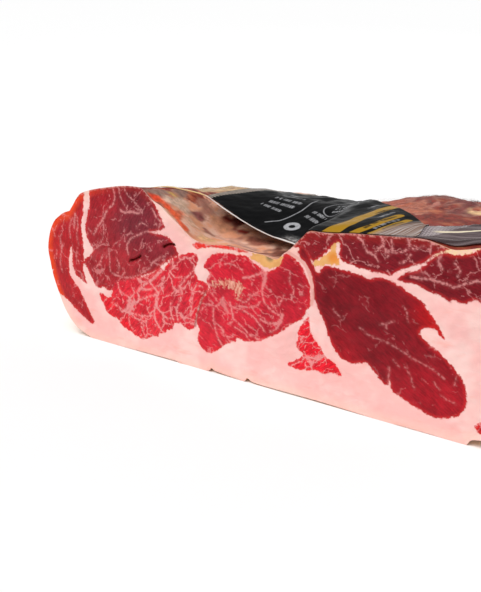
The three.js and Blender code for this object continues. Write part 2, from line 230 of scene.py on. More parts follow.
# Lines of fat drawn through the muscles: half-width, then points.
FAT_LINES = [
    (0.34, [(-133, 58), (-132, 51), (-133, 47), (-134, 41), (-133, 37)]),
    (0.28, [(-130, 54), (-132, 50)]),
    (0.25, [(-136, 49), (-137, 44)]),
    (0.56, [(-120, 73), (-121, 69), (-122, 64)]),
    (0.31, [(-119, 71), (-119, 66), (-120, 61), (-119, 55)]),
    (0.31, [(-122, 70), (-125, 65), (-125, 58)]),
    (0.25, [(-120, 53), (-121, 48), (-119, 44)]),
    (0.37, [(-92, 92), (-91, 87), (-92, 83), (-95, 80)]),
    (0.25, [(-88, 92), (-87, 87), (-84, 83)]),
    (0.50, [(-97, 78), (-100, 73), (-104, 68), (-107, 63)]),
    (0.34, [(-100, 72), (-100, 66), (-101, 61), (-105, 57)]),
    (0.25, [(-111, 66), (-107, 63), (-105, 66)]),
    (0.59, [(-87, 80), (-85, 79), (-80, 80), (-77, 80), (-73, 81)]),
    (0.43, [(-74, 69), (-78, 67), (-82, 64), (-84, 60), (-83, 56)]),
    (0.37, [(-96, 43), (-93, 42), (-87, 42), (-79, 44), (-73, 48), (-69, 51), (-66, 55), (-60, 59)]),
    (0.25, [(-97, 57), (-97, 50), (-97, 44)]),
    (0.37, [(-102, 52), (-104, 47), (-108, 43)]),
    (0.28, [(-104, 47), (-102, 43), (-104, 40)]),
    (0.31, [(-92, 52), (-90, 49), (-91, 45), (-93, 42)]),
    (0.22, [(-84, 92), (-82, 89), (-79, 87), (-74, 83)]),
    (0.34, [(-58, 73), (-65, 71), (-70, 71), (-74, 69)]),
    (0.25, [(-77, 72), (-74, 75), (-70, 74)]),
    (0.37, [(-66, 84), (-63, 80), (-60, 78)]),
    (0.74, [(-61, 51), (-65, 47), (-70, 43)]),
    (0.56, [(-70, 43), (-75, 39), (-78, 35), (-77, 31), (-82, 27), (-90, 21)]),
    (0.46, [(-75, 37), (-69, 39), (-62, 43), (-59, 48)]),
    (0.46, [(-77, 31), (-71, 34), (-65, 37), (-60, 42)]),
    (0.53, [(-65, 37), (-66, 31), (-67, 24), (-64, 18), (-61, 15)]),
    (0.43, [(-90, 21), (-83, 22), (-75, 22), (-67, 24)]),
    (0.37, [(-90, 21), (-93, 24), (-97, 25)]),
    (0.37, [(-82, 27), (-84, 31), (-90, 33), (-92, 38)]),
    (0.31, [(-84, 22), (-85, 16), (-82, 12)]),
    (0.31, [(-75, 22), (-76, 15), (-73, 9)]),
    (0.50, [(-69, 42), (-64, 37), (-65, 30), (-61, 26), (-58, 24)]),
    (0.37, [(-51, 42), (-49, 45), (-43, 52), (-39, 56)]),
    (0.34, [(-35, 47), (-39, 47), (-41, 42), (-42, 35), (-43, 29)]),
    (0.37, [(-49, 45), (-48, 41), (-49, 37), (-52, 30), (-51, 24)]),
    (0.37, [(-55, 35), (-56, 29), (-54, 24)]),
    (0.31, [(-48, 50), (-52, 49), (-56, 52)]),
    (0.31, [(-50, 54), (-54, 54)]),
    (0.43, [(-36, 34), (-32, 38), (-27, 38), (-24, 40), (-22, 44)]),
    (0.37, [(-30, 45), (-26, 41)]),
    (0.37, [(-28, 38), (-28, 32), (-27, 26), (-25, 20), (-23, 17)]),
    (0.37, [(-27, 29), (-23, 27), (-20, 23), (-16, 24)]),
    (0.50, [(-10, 57), (-5, 58.5), (0, 61), (3, 63)]),
    (0.93, [(3, 63.5), (3, 59), (1.6, 55)]),
    (0.43, [(1.6, 56), (1.4, 51), (3, 46), (7, 43), (10, 42), (13, 41.5)]),
    (0.37, [(-13, 45), (-9, 44), (-6, 47), (-3, 50)]),
    (0.43, [(-14, 41), (-8, 41.6), (-3, 43), (0, 46)]),
    (0.28, [(8, 46), (11, 47), (14, 53)]),
    (0.99, [(13, 42), (12, 38), (9, 36.4)]),
    (0.43, [(12, 38), (8, 36.5), (4, 36), (0, 37)]),
    (0.43, [(12, 38), (10, 34), (6, 31.5)]),
    (0.50, [(-18, 42), (-17, 38), (-16, 34), (-18, 30)]),
    (0.37, [(-16, 40), (-10, 39.5), (-4, 37.5), (0, 34), (3, 31)]),
    (0.31, [(-15, 33), (-10, 30), (-6, 27), (-1, 26)]),
    (0.31, [(-15, 29), (-9, 27), (-6, 24)]),
    (0.28, [(17, 65), (16.6, 60), (19, 57), (18, 51)]),
    (0.25, [(22, 60), (25, 59)]),
    (0.25, [(-21, 62), (-17, 63), (-10, 61)]),
    (0.56, [(-30, 54), (-33, 50), (-28, 49)]),
    (0.34, [(20, 37.6), (14, 32), (7, 28), (-2, 25)]),
    (0.31, [(55, 45), (61, 42), (68, 41), (75, 39), (82, 36), (86, 35), (92, 33), (98, 30)]),
    (0.28, [(79, 31), (82, 27), (84, 21)]),
    (0.40, [(65, 49), (68, 50), (72, 52)]),
    (0.37, [(68, 50), (68.6, 47.5)]),
    (0.25, [(76, 60), (78, 58), (79, 53)]),
    (0.43, [(71, 29), (71, 24), (71, 19)]),
    (0.37, [(41, 51), (43, 49), (45, 48)]),
    (0.25, [(73, 33), (76, 30)]),
    (0.28, [(97, 21), (100, 20), (104, 19)]),
    (0.25, [(93, 27), (96, 24)]),
    (0.25, [(104, 33), (103, 28)]),
    (0.50, [(52, 89), (55, 87), (57, 83), (60, 82)]),
    (0.37, [(62, 92), (65, 89), (63, 86), (61, 82), (63, 79)]),
    (0.31, [(76, 92), (77, 88), (72, 85), (66, 85), (64, 89)]),
    (0.28, [(68, 91), (69, 87), (67, 82)]),
    (0.28, [(78, 85), (76, 82), (73, 80)]),
    (0.28, [(84, 90), (80, 88), (77, 89)]),
    (0.50, [(79, 75), (84, 75), (88, 75.6), (92, 75), (96, 74.6), (99, 74), (103, 76), (107, 78), (112, 79),
            (120, 77), (128, 78)]),
    (0.37, [(92, 89), (91, 85), (93, 81)]),
    (0.28, [(98, 85), (101, 82), (100, 79)]),
    (0.28, [(110, 88), (112, 84), (117, 82)]),
]
PALE_SHEATH = (0.75, [(11, 75.5), (15, 75), (20, 73.2), (24.4, 70.6), (27, 67), (29, 61), (29.8, 55),
                      (29, 51)])
RED_SEAM = (0.6, [(-40, 24), (-39, 29), (-37, 35), (-35, 41), (-33, 45)])
TENDON = [(-29, 51), (-24, 53), (-17, 54.6), (-12, 54.6), (-9, 52.6), (-9.4, 49.6), (-11.4, 45.4),
          (-13.4, 44.6), (-14.4, 47), (-16, 49.4), (-20, 50), (-24, 48.8), (-28, 49)]
YELLOW_FAT = [
    [(-6.5, 68.4), (-3, 71.6), (2, 72.4), (10, 71.6), (13, 72), (11.4, 68), (9.6, 66), (6, 64.6), (1, 65.6),
     (-2, 66.8)],
    [(42.6, 85), (41, 80), (42.4, 77), (43, 74), (37, 72.6), (31, 70.4), (28.4, 72), (32.6, 74.6),
     (36.6, 78.4), (39, 82)],
]
ORANGE_CORE = ((40, 76.4), 3.6)
GREEN_CORE = ((5.4, 70.4), 2.4)
SLITS = [
    (0.62, [(-82.4, 52.4), (-80, 53.4), (-77.6, 54.6), (-75, 56.6)]),
    (0.55, [(-60, 64), (-58, 65.2), (-55.4, 66.4), (-52.6, 66.6)]),
]

# Patches of other tissue on the top, behind the cut, and two of painted shadow under the film's edge: x,
# back, reach along each, colour, strength.
TOP_PATCHES = [
    (-66, 12, 7, 7, (0.74, 0.5, 0.38), 0.90), (-61, 20, 6, 7, (0.68, 0.45, 0.33), 0.90),
    (-71, 12, 4, 12, (0.22, 0.13, 0.11), 0.75), (-70, 30, 5, 10, (0.2, 0.12, 0.1), 0.80),
    (-69, 21.6, 2.6, 2.6, (0.66, 0.38, 0.08), 0.80), (-52, 14, 5, 4, (0.84, 0.5, 0.34), 0.75),
    (-57, 36, 6, 7, (0.4, 0.15, 0.11), 0.70), (-55.5, 25, 4, 4.5, (0.27, 0.06, 0.065), 0.85),
    (-47, 34, 6, 6, (0.62, 0.27, 0.14), 0.80), (-39, 10, 7, 5, (0.8, 0.45, 0.22), 0.80),
    (-46, 21, 5, 2.6, (0.3, 0.1, 0.08), 0.85), (-33, 24, 11, 5, (0.74, 0.38, 0.28), 0.80),
    (-22, 19, 10, 5, (0.68, 0.37, 0.3), 0.70), (-42, 45, 5.5, 5, (0.11, 0.008, 0.006), 1.0),
    (-47, 41, 3.5, 4, (0.17, 0.012, 0.01), 1.0), (-35, 38, 6, 3.4, (0.24, 0.01, 0.007), 1.0),
    (-63, 5, 5, 4, (0.86, 0.11, 0.035), 0.95), (-57, 10, 3, 4, (0.8, 0.15, 0.06), 0.80),
    (-49, 3.5, 4, 3.5, (0.82, 0.14, 0.06), 0.90), (-43, 2.5, 3, 2, (0.8, 0.2, 0.1), 0.60),
    (-66, 3, 4, 3, (0.95, 0.08, 0.03), 1.0), (-61, 7, 4, 4, (0.95, 0.1, 0.03), 1.0),
    (-55, 5, 4, 3, (0.92, 0.13, 0.04), 0.95), (-50, 4, 4, 3, (0.95, 0.14, 0.05), 0.95),
    (-14, 9, 13, 2.6, (0.42, 0.13, 0.1), 0.80), (-2, 13, 8, 3, (0.34, 0.11, 0.08), 0.80),
    # the two patches on the next line are painted shadow under the film
    (-20, 32, 14, 6, (0.3, 0.08, 0.05), 0.80), (0, 22, 12, 7, (0.16, 0.045, 0.028), 0.90),
    (36, 72, 14, 12, (0.359, 0.066, 0.036), 0.80), (52, 60, 13, 10, (0.437, 0.099, 0.045), 0.90),
    (57, 47, 10, 8, (0.468, 0.121, 0.06), 0.85), (60, 84, 15, 8, (0.187, 0.0468, 0.042), 0.85),
    (75, 74, 10, 9, (0.148, 0.0121, 0.0132), 0.95), (79, 58, 8, 8, (0.164, 0.0132, 0.0144), 0.90),
    (62, 66, 2.4, 8, (0.437, 0.132, 0.108), 0.75), (84, 62, 5, 4, (0.86, 0.56, 0.28), 1.0),
    (90, 66, 5, 2.6, (0.8, 0.48, 0.28), 0.80), (98, 72, 10, 9, (0.187, 0.0248, 0.024), 0.80),
    (-74, 58, 9, 12, (0.58, 0.4, 0.22), 1.0), (-66, 72, 12, 12, (0.62, 0.43, 0.24), 1.0),
    (-78, 84, 16, 12, (0.56, 0.38, 0.2), 1.0), (-60, 88, 10, 12, (0.6, 0.4, 0.22), 0.90),
]

# ---- Shape helpers -----------------------------------------------------------------------


def rounded(points, closed=False, per_span=5):
    """A smooth line through the points, as an array."""
    p = np.array(points, float)
    if closed:
        p = np.vstack([p[-1], p, p[:2]])
    else:
        p = np.vstack([2 * p[0] - p[1], p, 2 * p[-1] - p[-2]])
    t = np.linspace(0, 1, per_span, endpoint=False)[:, None]
    spans = []
    for a, b, c, d in zip(p[:-3], p[1:-2], p[2:-1], p[3:]):
        bend = (2 * a - 5 * b + 4 * c - d) * t**2 + (3 * b - a - 3 * c + d) * t**3
        spans.append(0.5 * (2 * b + (c - a) * t + bend))
    line = np.vstack(spans)
    return line if closed else np.vstack([line, p[-2]])


def height_over(points):
    """The line's second coordinate as a function of its first, which only grows along it."""
    line = rounded(points)
    first = np.maximum.accumulate(line[:, 0])
    return lambda x: np.interp(x, first, line[:, 1])


def along(points):
    """The place on the line at a share of its length."""
    line = rounded(points)
    reach = np.concatenate([[0], np.cumsum(np.hypot(*np.diff(line, axis=0).T))])
    return lambda t: np.stack([np.interp(t * reach[-1], reach, line[:, k]) for k in (0, 1)])


def smooth(low, high, x):
    t = np.clip((x - low) / (high - low), 0, 1)
    return t * t * (3 - 2 * t)


def mixed(a, b, share):
    return a + (b - a) * share


def ripple(points, wavelength, seed, waves=9):
    """Soft lumps between about -1 and 1, from waves in random directions, for rows of points."""
    rng = np.random.default_rng(seed)
    total = np.zeros(len(points))
    for _ in range(waves):
        direction = rng.normal(size=points.shape[1])
        direction /= np.linalg.norm(direction)
        pitch = wavelength * rng.uniform(0.6, 1.6)
        total += np.sin(points @ direction * 2 * math.pi / pitch + rng.uniform(0, 2 * math.pi))
    return total / math.sqrt(waves)


def filled_between(sole, crown, left, right):
    """The cross-section that four stretches of outline enclose: (u across, w up) to (x, z)."""
    sole_z, crown_z = height_over(sole), height_over(crown)
    left_at, right_at = along(left), along(right)
    corners = [np.array(c, float) for c in (sole[0], sole[-1], crown[0], crown[-1])]

    def section(u, w):
        sole_x = mixed(sole[0][0], sole[-1][0], u)
        crown_x = mixed(crown[0][0], crown[-1][0], u)
        low = np.stack([sole_x, sole_z(sole_x)])
        high = np.stack([crown_x, crown_z(crown_x)])
        a, b, c, d = (corner[:, None] for corner in corners)
        straight = mixed(mixed(a, b, u), mixed(c, d, u), w)
        return mixed(low, high, w) + mixed(left_at(w), right_at(w), u) - straight

    return section


cut_section = filled_between(SOLE_CUT, CROWN_CUT, LEFT_CUT, RIGHT_SIDE)
back_section = filled_between(SOLE_BACK, CROWN_BACK, LEFT_BACK, RIGHT_SIDE)
SHARES = [height_over(table) for table in (LEFT_WIDTH, RIGHT_WIDTH, LEFT_HEIGHT, RIGHT_HEIGHT)]


def groove_share(x):
    left = smooth(GROOVE_FLOOR[0] - GROOVE_SLOPES[0], GROOVE_FLOOR[0], x)
    return left * (1 - smooth(GROOVE_FLOOR[1], GROOVE_FLOOR[1] + GROOVE_SLOPES[1], x))


def bag_share(x):
    """The film sags from the left crest down to the foot of the groove's right side."""
    return smooth(-80, 4, x) * (1 - smooth(8, 27, x))


def ham_surface(u, v, w, groove, keep_cut, hollow=groove_share):
    """Places on the ham for u across, v back and w up, each from 0 to 1, as rows of x, y, z."""
    back = (DEPTH - END_BULGE) * v
    x, z = back_section(u, w)
    fade = 1 - (1 - GROOVE_LEFT_OVER) * smooth(*GROOVE_FADES, back)
    z = z - groove * fade * hollow(x) * w
    if keep_cut:
        share = np.exp(-((back / CUT_FADE) ** 1.5))
        x, z = mixed(np.stack([x, z]), cut_section(u, w), share)
    rightness = smooth(-DRAWN_WIDTH / 2, DRAWN_WIDTH / 2, x)
    left_width, right_width, left_height, right_height = (share(v) for share in SHARES)
    lift = END_LIFT * smooth(0.55, 1, v) * (1 - w)
    bulge = END_BULGE * (1 - (2 * u - 1) ** 2) * (1 - (2 * w - 1) ** 2) * (v > 0.9999)
    return np.stack([
        x * X_SCALE * mixed(left_width, right_width, rightness),
        FACE_Y + back + bulge,
        np.maximum(z, 0) * Z_SCALE * mixed(left_height, right_height, rightness) + lift,
    ], axis=1)


def depth_inside(points, outline):
    """How far each point lies inside the closed outline, negative outside."""
    nearest = np.full(len(points), 1e9)
    inside = np.zeros(len(points), bool)
    px, pz = points[:, 0], points[:, 1]
    for a, b in zip(outline, np.roll(outline, -1, axis=0)):
        nearest = np.minimum(nearest, distance_to_span(points, a, b))
        if a[1] != b[1]:
            crosses = (a[1] > pz) != (b[1] > pz)
            inside ^= crosses & (px < a[0] + (pz - a[1]) * (b[0] - a[0]) / (b[1] - a[1]))
    return np.where(inside, nearest, -nearest)


def distance_to_span(points, a, b):
    along_it = b - a
    share = np.clip((points - a) @ along_it / max(along_it @ along_it, 1e-9), 0, 1)
    return np.hypot(*(points - a - share[:, None] * along_it).T)


def distance_to_line(points, line):
    """Only points near the line are measured: the rest keep a large distance."""
    found = np.full(len(points), 1e3)
    reach = 6.0
    near = np.all((points > line.min(0) - reach) & (points < line.max(0) + reach), axis=1)
    for a, b in zip(line[:-1], line[1:]):
        found[near] = np.minimum(found[near], distance_to_span(points[near], a, b))
    return found


# ---- Mesh helpers ------------------------------------------------------------------------


def select_edges(obj, wanted):
    """In edit mode, selects the edges for which wanted(start, end, edge) holds, and nothing else."""
    mesh = bmesh.from_edit_mesh(obj.data)
    for element in (*mesh.verts, *mesh.edges, *mesh.faces):
        element.select = False
    for edge in mesh.edges:
        if wanted(edge.verts[0].co, edge.verts[1].co, edge):
            edge.select = True
    mesh.select_flush_mode()
    bmesh.update_edit_mesh(obj.data)


def divided_box(name, divisions, dome_rings):
    """A box from 0 to 1 with each direction divided in steps, and rings that close in on its far end."""
    bpy.ops.object.select_all(action="DESELECT")
    bpy.ops.mesh.primitive_cube_add(size=1, location=(0.5, 0.5, 0.5))
    box = bpy.context.object
    box.name = box.data.name = name
    bpy.ops.object.transform_apply(location=True)
    bpy.ops.object.mode_set(mode="EDIT")
    bpy.ops.mesh.select_mode(type="EDGE")
    for axis, factors in enumerate(divisions):
        for factor in factors:
            select_edges(box, lambda a, b, edge: abs(a[axis] - b[axis]) > 1e-5)
            bpy.ops.mesh.subdivide(number_cuts=factor - 1)
    select_edges(box, lambda a, b, edge: a.y > 0.9999 and b.y > 0.9999)
    bpy.ops.mesh.select_mode(type="FACE")
    bpy.ops.mesh.delete(type="FACE")
    bpy.ops.mesh.select_mode(type="EDGE")
    select_edges(box, lambda a, b, edge: edge.is_boundary)
    for ring in range(dome_rings, 0, -1):
        bpy.ops.mesh.extrude_region_move()
        size = (ring - 1) / ring if ring > 1 else 0.1
        bpy.ops.transform.resize(value=(size, 1, size), center_override=(0.5, 1, 0.5))
    bpy.ops.mesh.merge(type="CENTER")
    bpy.ops.object.mode_set(mode="OBJECT")
    return box


def choose(obj):
    """Selects one object and nothing else."""
    bpy.ops.object.select_all(action="DESELECT")
    obj.select_set(True)
    bpy.context.view_layer.objects.active = obj


def read_points(obj):
    points = np.empty(len(obj.data.vertices) * 3, np.float32)
    obj.data.vertices.foreach_get("co", points)
    return points.reshape(-1, 3).astype(float)


def write_points(obj, points):
    obj.data.vertices.foreach_set("co", (points * MM).astype(np.float32).ravel())
    obj.data.update()


def read_normals(obj):
    normals = np.empty(len(obj.data.vertices) * 3, np.float32)
    obj.data.vertex_normals.foreach_get("vector", normals)
    return normals.reshape(-1, 3).astype(float)


def keep(obj, name, values):
    """Stores one number, vector or colour per point under a name that materials read."""
    values = np.asarray(values, np.float32)
    if values.ndim == 1:
        obj.data.attributes.new(name, "FLOAT", "POINT").data.foreach_set("value", values)
    else:
        obj.data.attributes.new(name, "FLOAT_VECTOR", "POINT").data.foreach_set("vector", values.ravel())


def face_outwards(obj):
    choose(obj)
    bpy.ops.object.mode_set(mode="EDIT")
    bpy.ops.mesh.select_all(action="SELECT")
    bpy.ops.mesh.normals_make_consistent(inside=False)
    bpy.ops.object.mode_set(mode="OBJECT")


def give_thickness(obj, thickness, rim_slot=0):
    """Turns a sheet into a thin wall standing outwards from it, and applies it."""
    face_outwards(obj)
    wall = obj.modifiers.new("wall", "SOLIDIFY")
    wall.thickness = thickness * MM
    wall.offset = 1
    wall.material_offset_rim = rim_slot
    bpy.ops.object.modifier_apply(modifier=wall.name)


def shade(obj, smooth_angle=50):
    choose(obj)
    bpy.ops.object.shade_smooth_by_angle(angle=math.radians(smooth_angle))


# ---- The ham -----------------------------------------------------------------------------

HAM_DIVISIONS = ((14, 25), (4, 11), (8, 14))  # 350 across, 44 back, 112 up
HAM_DOME_RINGS = 9


def ham_relief(places, unit, plan, lumpy=1.0):
    """How far each point of the ham stands out from its plain shape, along its normal."""
    x, back = plan[:, 0], plan[:, 1]
    soft = 1.2 * ripple(places, 46, 3) + 0.6 * ripple(places, 19, 4) + 0.25 * ripple(places, 7, 5)
    soft *= 1 - 0.7 * smooth(0.93, 0.999, unit[:, 2]) * (1 - smooth(50, 100, back))
    grows = smooth(0, 16, back)
    underside = smooth(0.02, 0.14, unit[:, 2])
    top = smooth(0.93, 0.999, unit[:, 2])
    lumps = lumpy * (0.4 * ripple(plan, 24, 6) + 0.1 * ripple(plan, 9, 7))
    in_groove = groove_share(x) * (1 - smooth(60, 90, back))
    return grows * underside * soft + smooth(0.5, 8, back) * top * in_groove * lumps


def paint_cut_face(ham, flat, face):
    """Stores what the cut face is made of at each point."""
    count = len(face)
    names = list(MUSCLES)
    depth = np.full((len(names), count), -50.0)
    for k, name in enumerate(names):
        depth[k, face] = depth_inside(flat[face], rounded(MUSCLES[name]["edge"], closed=True, per_span=4))
    owner = depth.argmax(axis=0)
    lean = depth.max(axis=0)

    flesh = np.array([MUSCLES[name]["flesh"] for name in names])[owner]
    for centre, radius, colour, strength in FLESH_SHADES:
        centre = np.array(centre, float)
        home = max(names, key=lambda n: depth_inside(centre[None], rounded(MUSCLES[n]["edge"], True))[0])
        away = np.hypot(*(flat - centre).T)
        share = strength * np.exp(-((away / radius) ** 2)) * (owner == names.index(home))
        flesh = mixed(flesh, np.array(colour), share[:, None])
    turn = np.radians([MUSCLES[name]["fibres"] for name in names])[owner]
    cos, sin = np.cos(turn), np.sin(turn)
    fibres = np.stack([flat[:, 0] * cos + flat[:, 1] * sin, flat[:, 1] * cos - flat[:, 0] * sin,
                       owner * 37.0])

    line = np.full(count, 9.0)
    for half_width, points in FAT_LINES:
        away = distance_to_line(flat[face], rounded(points, per_span=3)) - half_width
        line[face] = np.minimum(line[face], away)

    outline = np.vstack([rounded(SOLE_CUT), rounded(RIGHT_SIDE), rounded(CROWN_CUT)[::-1],
                         rounded(LEFT_CUT)[::-1]])
    rim = np.full(count, 0.0)
    rim[face] = np.abs(depth_inside(flat[face], outline))

    def thin(half_width, points):
        found = np.full(count, 9.0)
        found[face] = distance_to_line(flat[face], rounded(points)) - half_width
        return found

    slit = np.minimum(*(thin(*s) for s in SLITS))
    yellow = np.full(count, -9.0)
    for patch in YELLOW_FAT:
        yellow[face] = np.maximum(yellow[face], depth_inside(flat[face], rounded(patch, True)))
    tendon = np.full(count, -9.0)
    tendon[face] = depth_inside(flat[face], rounded(TENDON, True))

    keep(ham, "lean", np.clip(lean, -12, 12))
    keep(ham, "flesh", flesh)
    keep(ham, "marbling", np.array([MUSCLES[name]["marbling"] for name in names])[owner])
    keep(ham, "fibres", fibres.T)
    keep(ham, "fat_line", np.clip(line, -3, 5))
    keep(ham, "rim", np.clip(rim, 0, 12))
    keep(ham, "slit", np.clip(slit, -3, 5))
    keep(ham, "yellow", np.clip(yellow, -5, 5))
    keep(ham, "tendon", np.clip(tendon, -5, 5))
    keep(ham, "sheath", np.clip(thin(*PALE_SHEATH), -3, 5))
    keep(ham, "red_seam", np.clip(thin(*RED_SEAM), -3, 5))
    return lean, line, slit


def make_ham():
    ham = divided_box("cured_ham", HAM_DIVISIONS, HAM_DOME_RINGS)
    unit = read_points(ham)
    u, v, w = unit[:, 0], unit[:, 1] ** 1.35, unit[:, 2]
    places = ham_surface(u, v, w, GROOVE_DEPTH, keep_cut=True)
    face = unit[:, 1] < 1e-5
    plan = np.stack([places[:, 0], places[:, 1] - FACE_Y], axis=1)
    flat = np.stack([places[:, 0] / X_SCALE, places[:, 2] / Z_SCALE], axis=1)
    lean, line, slit = paint_cut_face(ham, flat, face)

    write_points(ham, places)
    normals = read_normals(ham)
    places += normals * ham_relief(places, unit, plan)[:, None]
    inner = face & (unit[:, 0] > 0.004) & (unit[:, 0] < 0.996) & (unit[:, 2] > 0.01) & (unit[:, 2] < 0.99)
    dent = 0.25 * ripple(flat, 22, 8) + 0.10 * ripple(flat, 5, 9)
    dent += 0.22 * np.exp(-((lean / 1.2) ** 2)) + 2.0 * (1 - smooth(-0.5, 0.3, slit))
    places[inner, 1] += dent[inner]
    places[:, 2] = np.maximum(places[:, 2], HAM_LOW[2])
    write_points(ham, places)

    keep(ham, "outside", np.where(face, 0.0, 1.0))
    tint, share = np.tile([0.5, 0.25, 0.18], (len(places), 1)), np.zeros(len(places))
    on_top = unit[:, 2] > 0.999
    ragged = 0.25 * ripple(plan, 9, 31)
    for x, back, reach_x, reach_back, colour, strength in TOP_PATCHES:
        away = np.hypot((plan[:, 0] - x) / reach_x, (plan[:, 1] - back) / reach_back) + ragged
        here = strength * (1 - smooth(0.45, 1.25, away)) * on_top
        tint = mixed(tint, np.array(colour), here[:, None])
        share = np.maximum(share, here)
    keep(ham, "tint", tint)
    keep(ham, "tinted", share)
    crust = on_top * (1 - groove_share(plan[:, 0] + 4)) * smooth(1.0, 6.0, plan[:, 1] + 8)
    keep(ham, "crust", np.where(on_top, np.clip(crust, 0, 1), 0.0))
    face_outwards(ham)
    shade(ham)
    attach(ham, "root")
    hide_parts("ham")
    return ham


# ---- The bag and its label ---------------------------------------------------------------

BAG_DIVISIONS = ((10, 16), (6, 14), (5, 9))
BAG_DOME_RINGS = 10
bag_edge_back = height_over(BAG_EDGE)


def flap_depth(plan):
    """How far in front of the flap's free edge each place lies, negative behind it."""
    (x, back), slope = FLAP_LINE
    return back + (plan[:, 0] - x) * slope - plan[:, 1]


def bag_wrinkles(places, plan):
    """Folds of the film, along the ham from the cut edge and across the end."""
    x, back = plan.T
    stretched = np.stack([x / 7.0 + 0.10 * back, back / 38.0], axis=1)
    pulled = ripple(stretched, 2.2, 21, waves=14)
    crossing = ripple(np.stack([x / 30.0, back / 9.0 + x / 40.0], axis=1), 2.6, 22, waves=10)
    calm = 1 - 0.85 * smooth(-66, -50, x) * (1 - smooth(60, 76, x)) * (1 - smooth(80, 120, back))
    folds = calm * (0.16 * np.abs(pulled) + 0.12 * np.abs(crossing)) + 0.15 * ripple(places, 30, 23)

    depth = flap_depth(plan)
    on_flap = smooth(FLAP_FROM, FLAP_FROM + 16, x) * smooth(0, 2.0, depth)
    across_view = 0.54 * x - 0.84 * back
    streaks = ripple(np.stack([across_view / 5.0, x / 60.0], axis=1), 1.6, 24, waves=8)
    flap = on_flap * (FLAP_HEIGHT * (1 - smooth(2, 16, depth)) + 0.55 * streaks + 0.5)
    crumpled = np.exp(-(((x - 6) / 12) ** 2) - ((back - 14) / 7) ** 2)
    return folds + flap + 0.5 * crumpled * np.abs(ripple(places, 3.4, 25))


def stretched_over(x, z):
    """The height of a tight film laid over the profile x, z."""
    stays = [0]
    for k in range(1, len(x)):
        while len(stays) > 1:
            a, b = stays[-2:]
            if (x[b] - x[a]) * (z[k] - z[a]) - (z[b] - z[a]) * (x[k] - x[a]) < 0:
                break
            stays.pop()
        stays.append(k)
    return np.interp(x, x[stays], z[stays])


def span_heights(across=120, deep=60):
    """Heights of a film pulled tight over the ham's top, on an even grid of u and v."""
    u = np.linspace(0, 1, across + 1)
    rows = []
    for v in np.linspace(0, 1, deep + 1):
        x, _, z = ham_surface(u, np.full_like(u, min(v, 0.9998)), np.ones_like(u), GROOVE_DEPTH, False).T
        rows.append(stretched_over(x, z))
    return np.array(rows)


def looked_up(grid, u, v):
    deep, across = np.array(grid.shape) - 1
    row, column = np.clip(v, 0, 1) * deep, np.clip(u, 0, 1) * across
    i, j = np.minimum(row.astype(int), deep - 1), np.minimum(column.astype(int), across - 1)
    return mixed(mixed(grid[i, j], grid[i, j + 1], column - j),
                 mixed(grid[i + 1, j], grid[i + 1, j + 1], column - j), row - i)


def bag_surface(u, share, w):
    """Places on the bag: share runs from its cut front edge (0) to the end of the ham (1)."""
    x_guess = ham_surface(u, np.zeros_like(u), w, BAG_GROOVE, keep_cut=False)[:, 0]
    start = bag_edge_back(x_guess / X_SCALE) / (DEPTH - END_BULGE)
    v = mixed(start, 1.0, share)
    places = ham_surface(u, v, w, BAG_GROOVE, keep_cut=True, hollow=bag_share)
    tight = BAG_TIGHTNESS * smooth(BAG_TIGHT_FROM, BAG_TIGHT_AT, places[:, 1] - FACE_Y) * (w > 0.999)
    tight *= 1 - BAG_SLACK * smooth(-64, -34, places[:, 0]) * (1 - smooth(30, 62, places[:, 0]))
    places[:, 2] = mixed(places[:, 2], looked_up(span_heights(), u, v), tight)
    return places, np.stack([u, v, w], axis=1), tight


def make_bag():
    bag = divided_box("vacuum_bag_film", BAG_DIVISIONS, BAG_DOME_RINGS)
    unit = read_points(bag)
    places, on_ham, tight = bag_surface(unit[:, 0], unit[:, 1] ** 1.2, unit[:, 2])
    plan = np.stack([places[:, 0], places[:, 1] - FACE_Y], axis=1)
    write_points(bag, places)
    normals = read_normals(bag)
    free = tight * groove_share(plan[:, 0])
    relief = ham_relief(places, on_ham, plan, lumpy=0.0) * (1 - free)
    near_cut = smooth(0, 9, plan[:, 1])
    standoff = 0.06 + (BAG_STANDOFF - 0.06) * near_cut + bag_wrinkles(places, plan) * mixed(0.2, 1, near_cut)
    write_points(bag, places + normals * (relief + standoff)[:, None])
    top = unit[:, 2] > 0.97
    depth = flap_depth(plan)
    loose = smooth(FLAP_FROM, FLAP_FROM + 12, plan[:, 0]) * smooth(-1.0, 1.0, depth)
    seal = distance_to_line(plan, rounded(SEAL_LINE))
    keep(bag, "loose", np.where(top, loose, 0.0))
    keep(bag, "seal", np.where(top, np.clip(seal, 0, 9), 9.0))
    keep(bag, "plan", np.stack([plan[:, 0], plan[:, 1], depth], axis=1))
    keep(bag, "front", np.where(top, np.clip(plan[:, 1] - bag_edge_back(plan[:, 0]), 0, 20), 20.0))

    choose(bag)
    bpy.ops.object.mode_set(mode="EDIT")
    shell = bmesh.from_edit_mesh(bag.data)
    front = [f for f in shell.faces if f.normal.y < -0.5 and all(edge_row(v, unit) for v in f.verts)]
    bmesh.ops.delete(shell, geom=front, context="FACES")
    bmesh.update_edit_mesh(bag.data)
    bpy.ops.mesh.select_all(action="SELECT")
    bpy.ops.mesh.bisect(plane_co=(0, 0, BAG_HEM * MM), plane_no=(0, 0, 1), clear_inner=True)
    bpy.ops.object.mode_set(mode="OBJECT")
    give_thickness(bag, BAG_FILM, rim_slot=1)
    shade(bag, 60)
    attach(bag, "root")
    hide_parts("vacuum_bag")
    return bag


def edge_row(vertex, unit):
    """True on the front row, where the bag was cut open."""
    return unit[vertex.index, 1] < 1e-5


LABEL_LEFT, LABEL_RIGHT = (-56.5, 35.0), (79.0, 3.0)
LABEL_CORNER, LABEL_BEND = (-37.0, 122.0), (70.0, 27.0)
LABEL_STEPS = (260, 130)
LABEL_LIFT = 0.3
LABEL_THICKNESS = 0.2
LABEL_SETBACK = 0.55  # how far it starts behind the film's cut edge
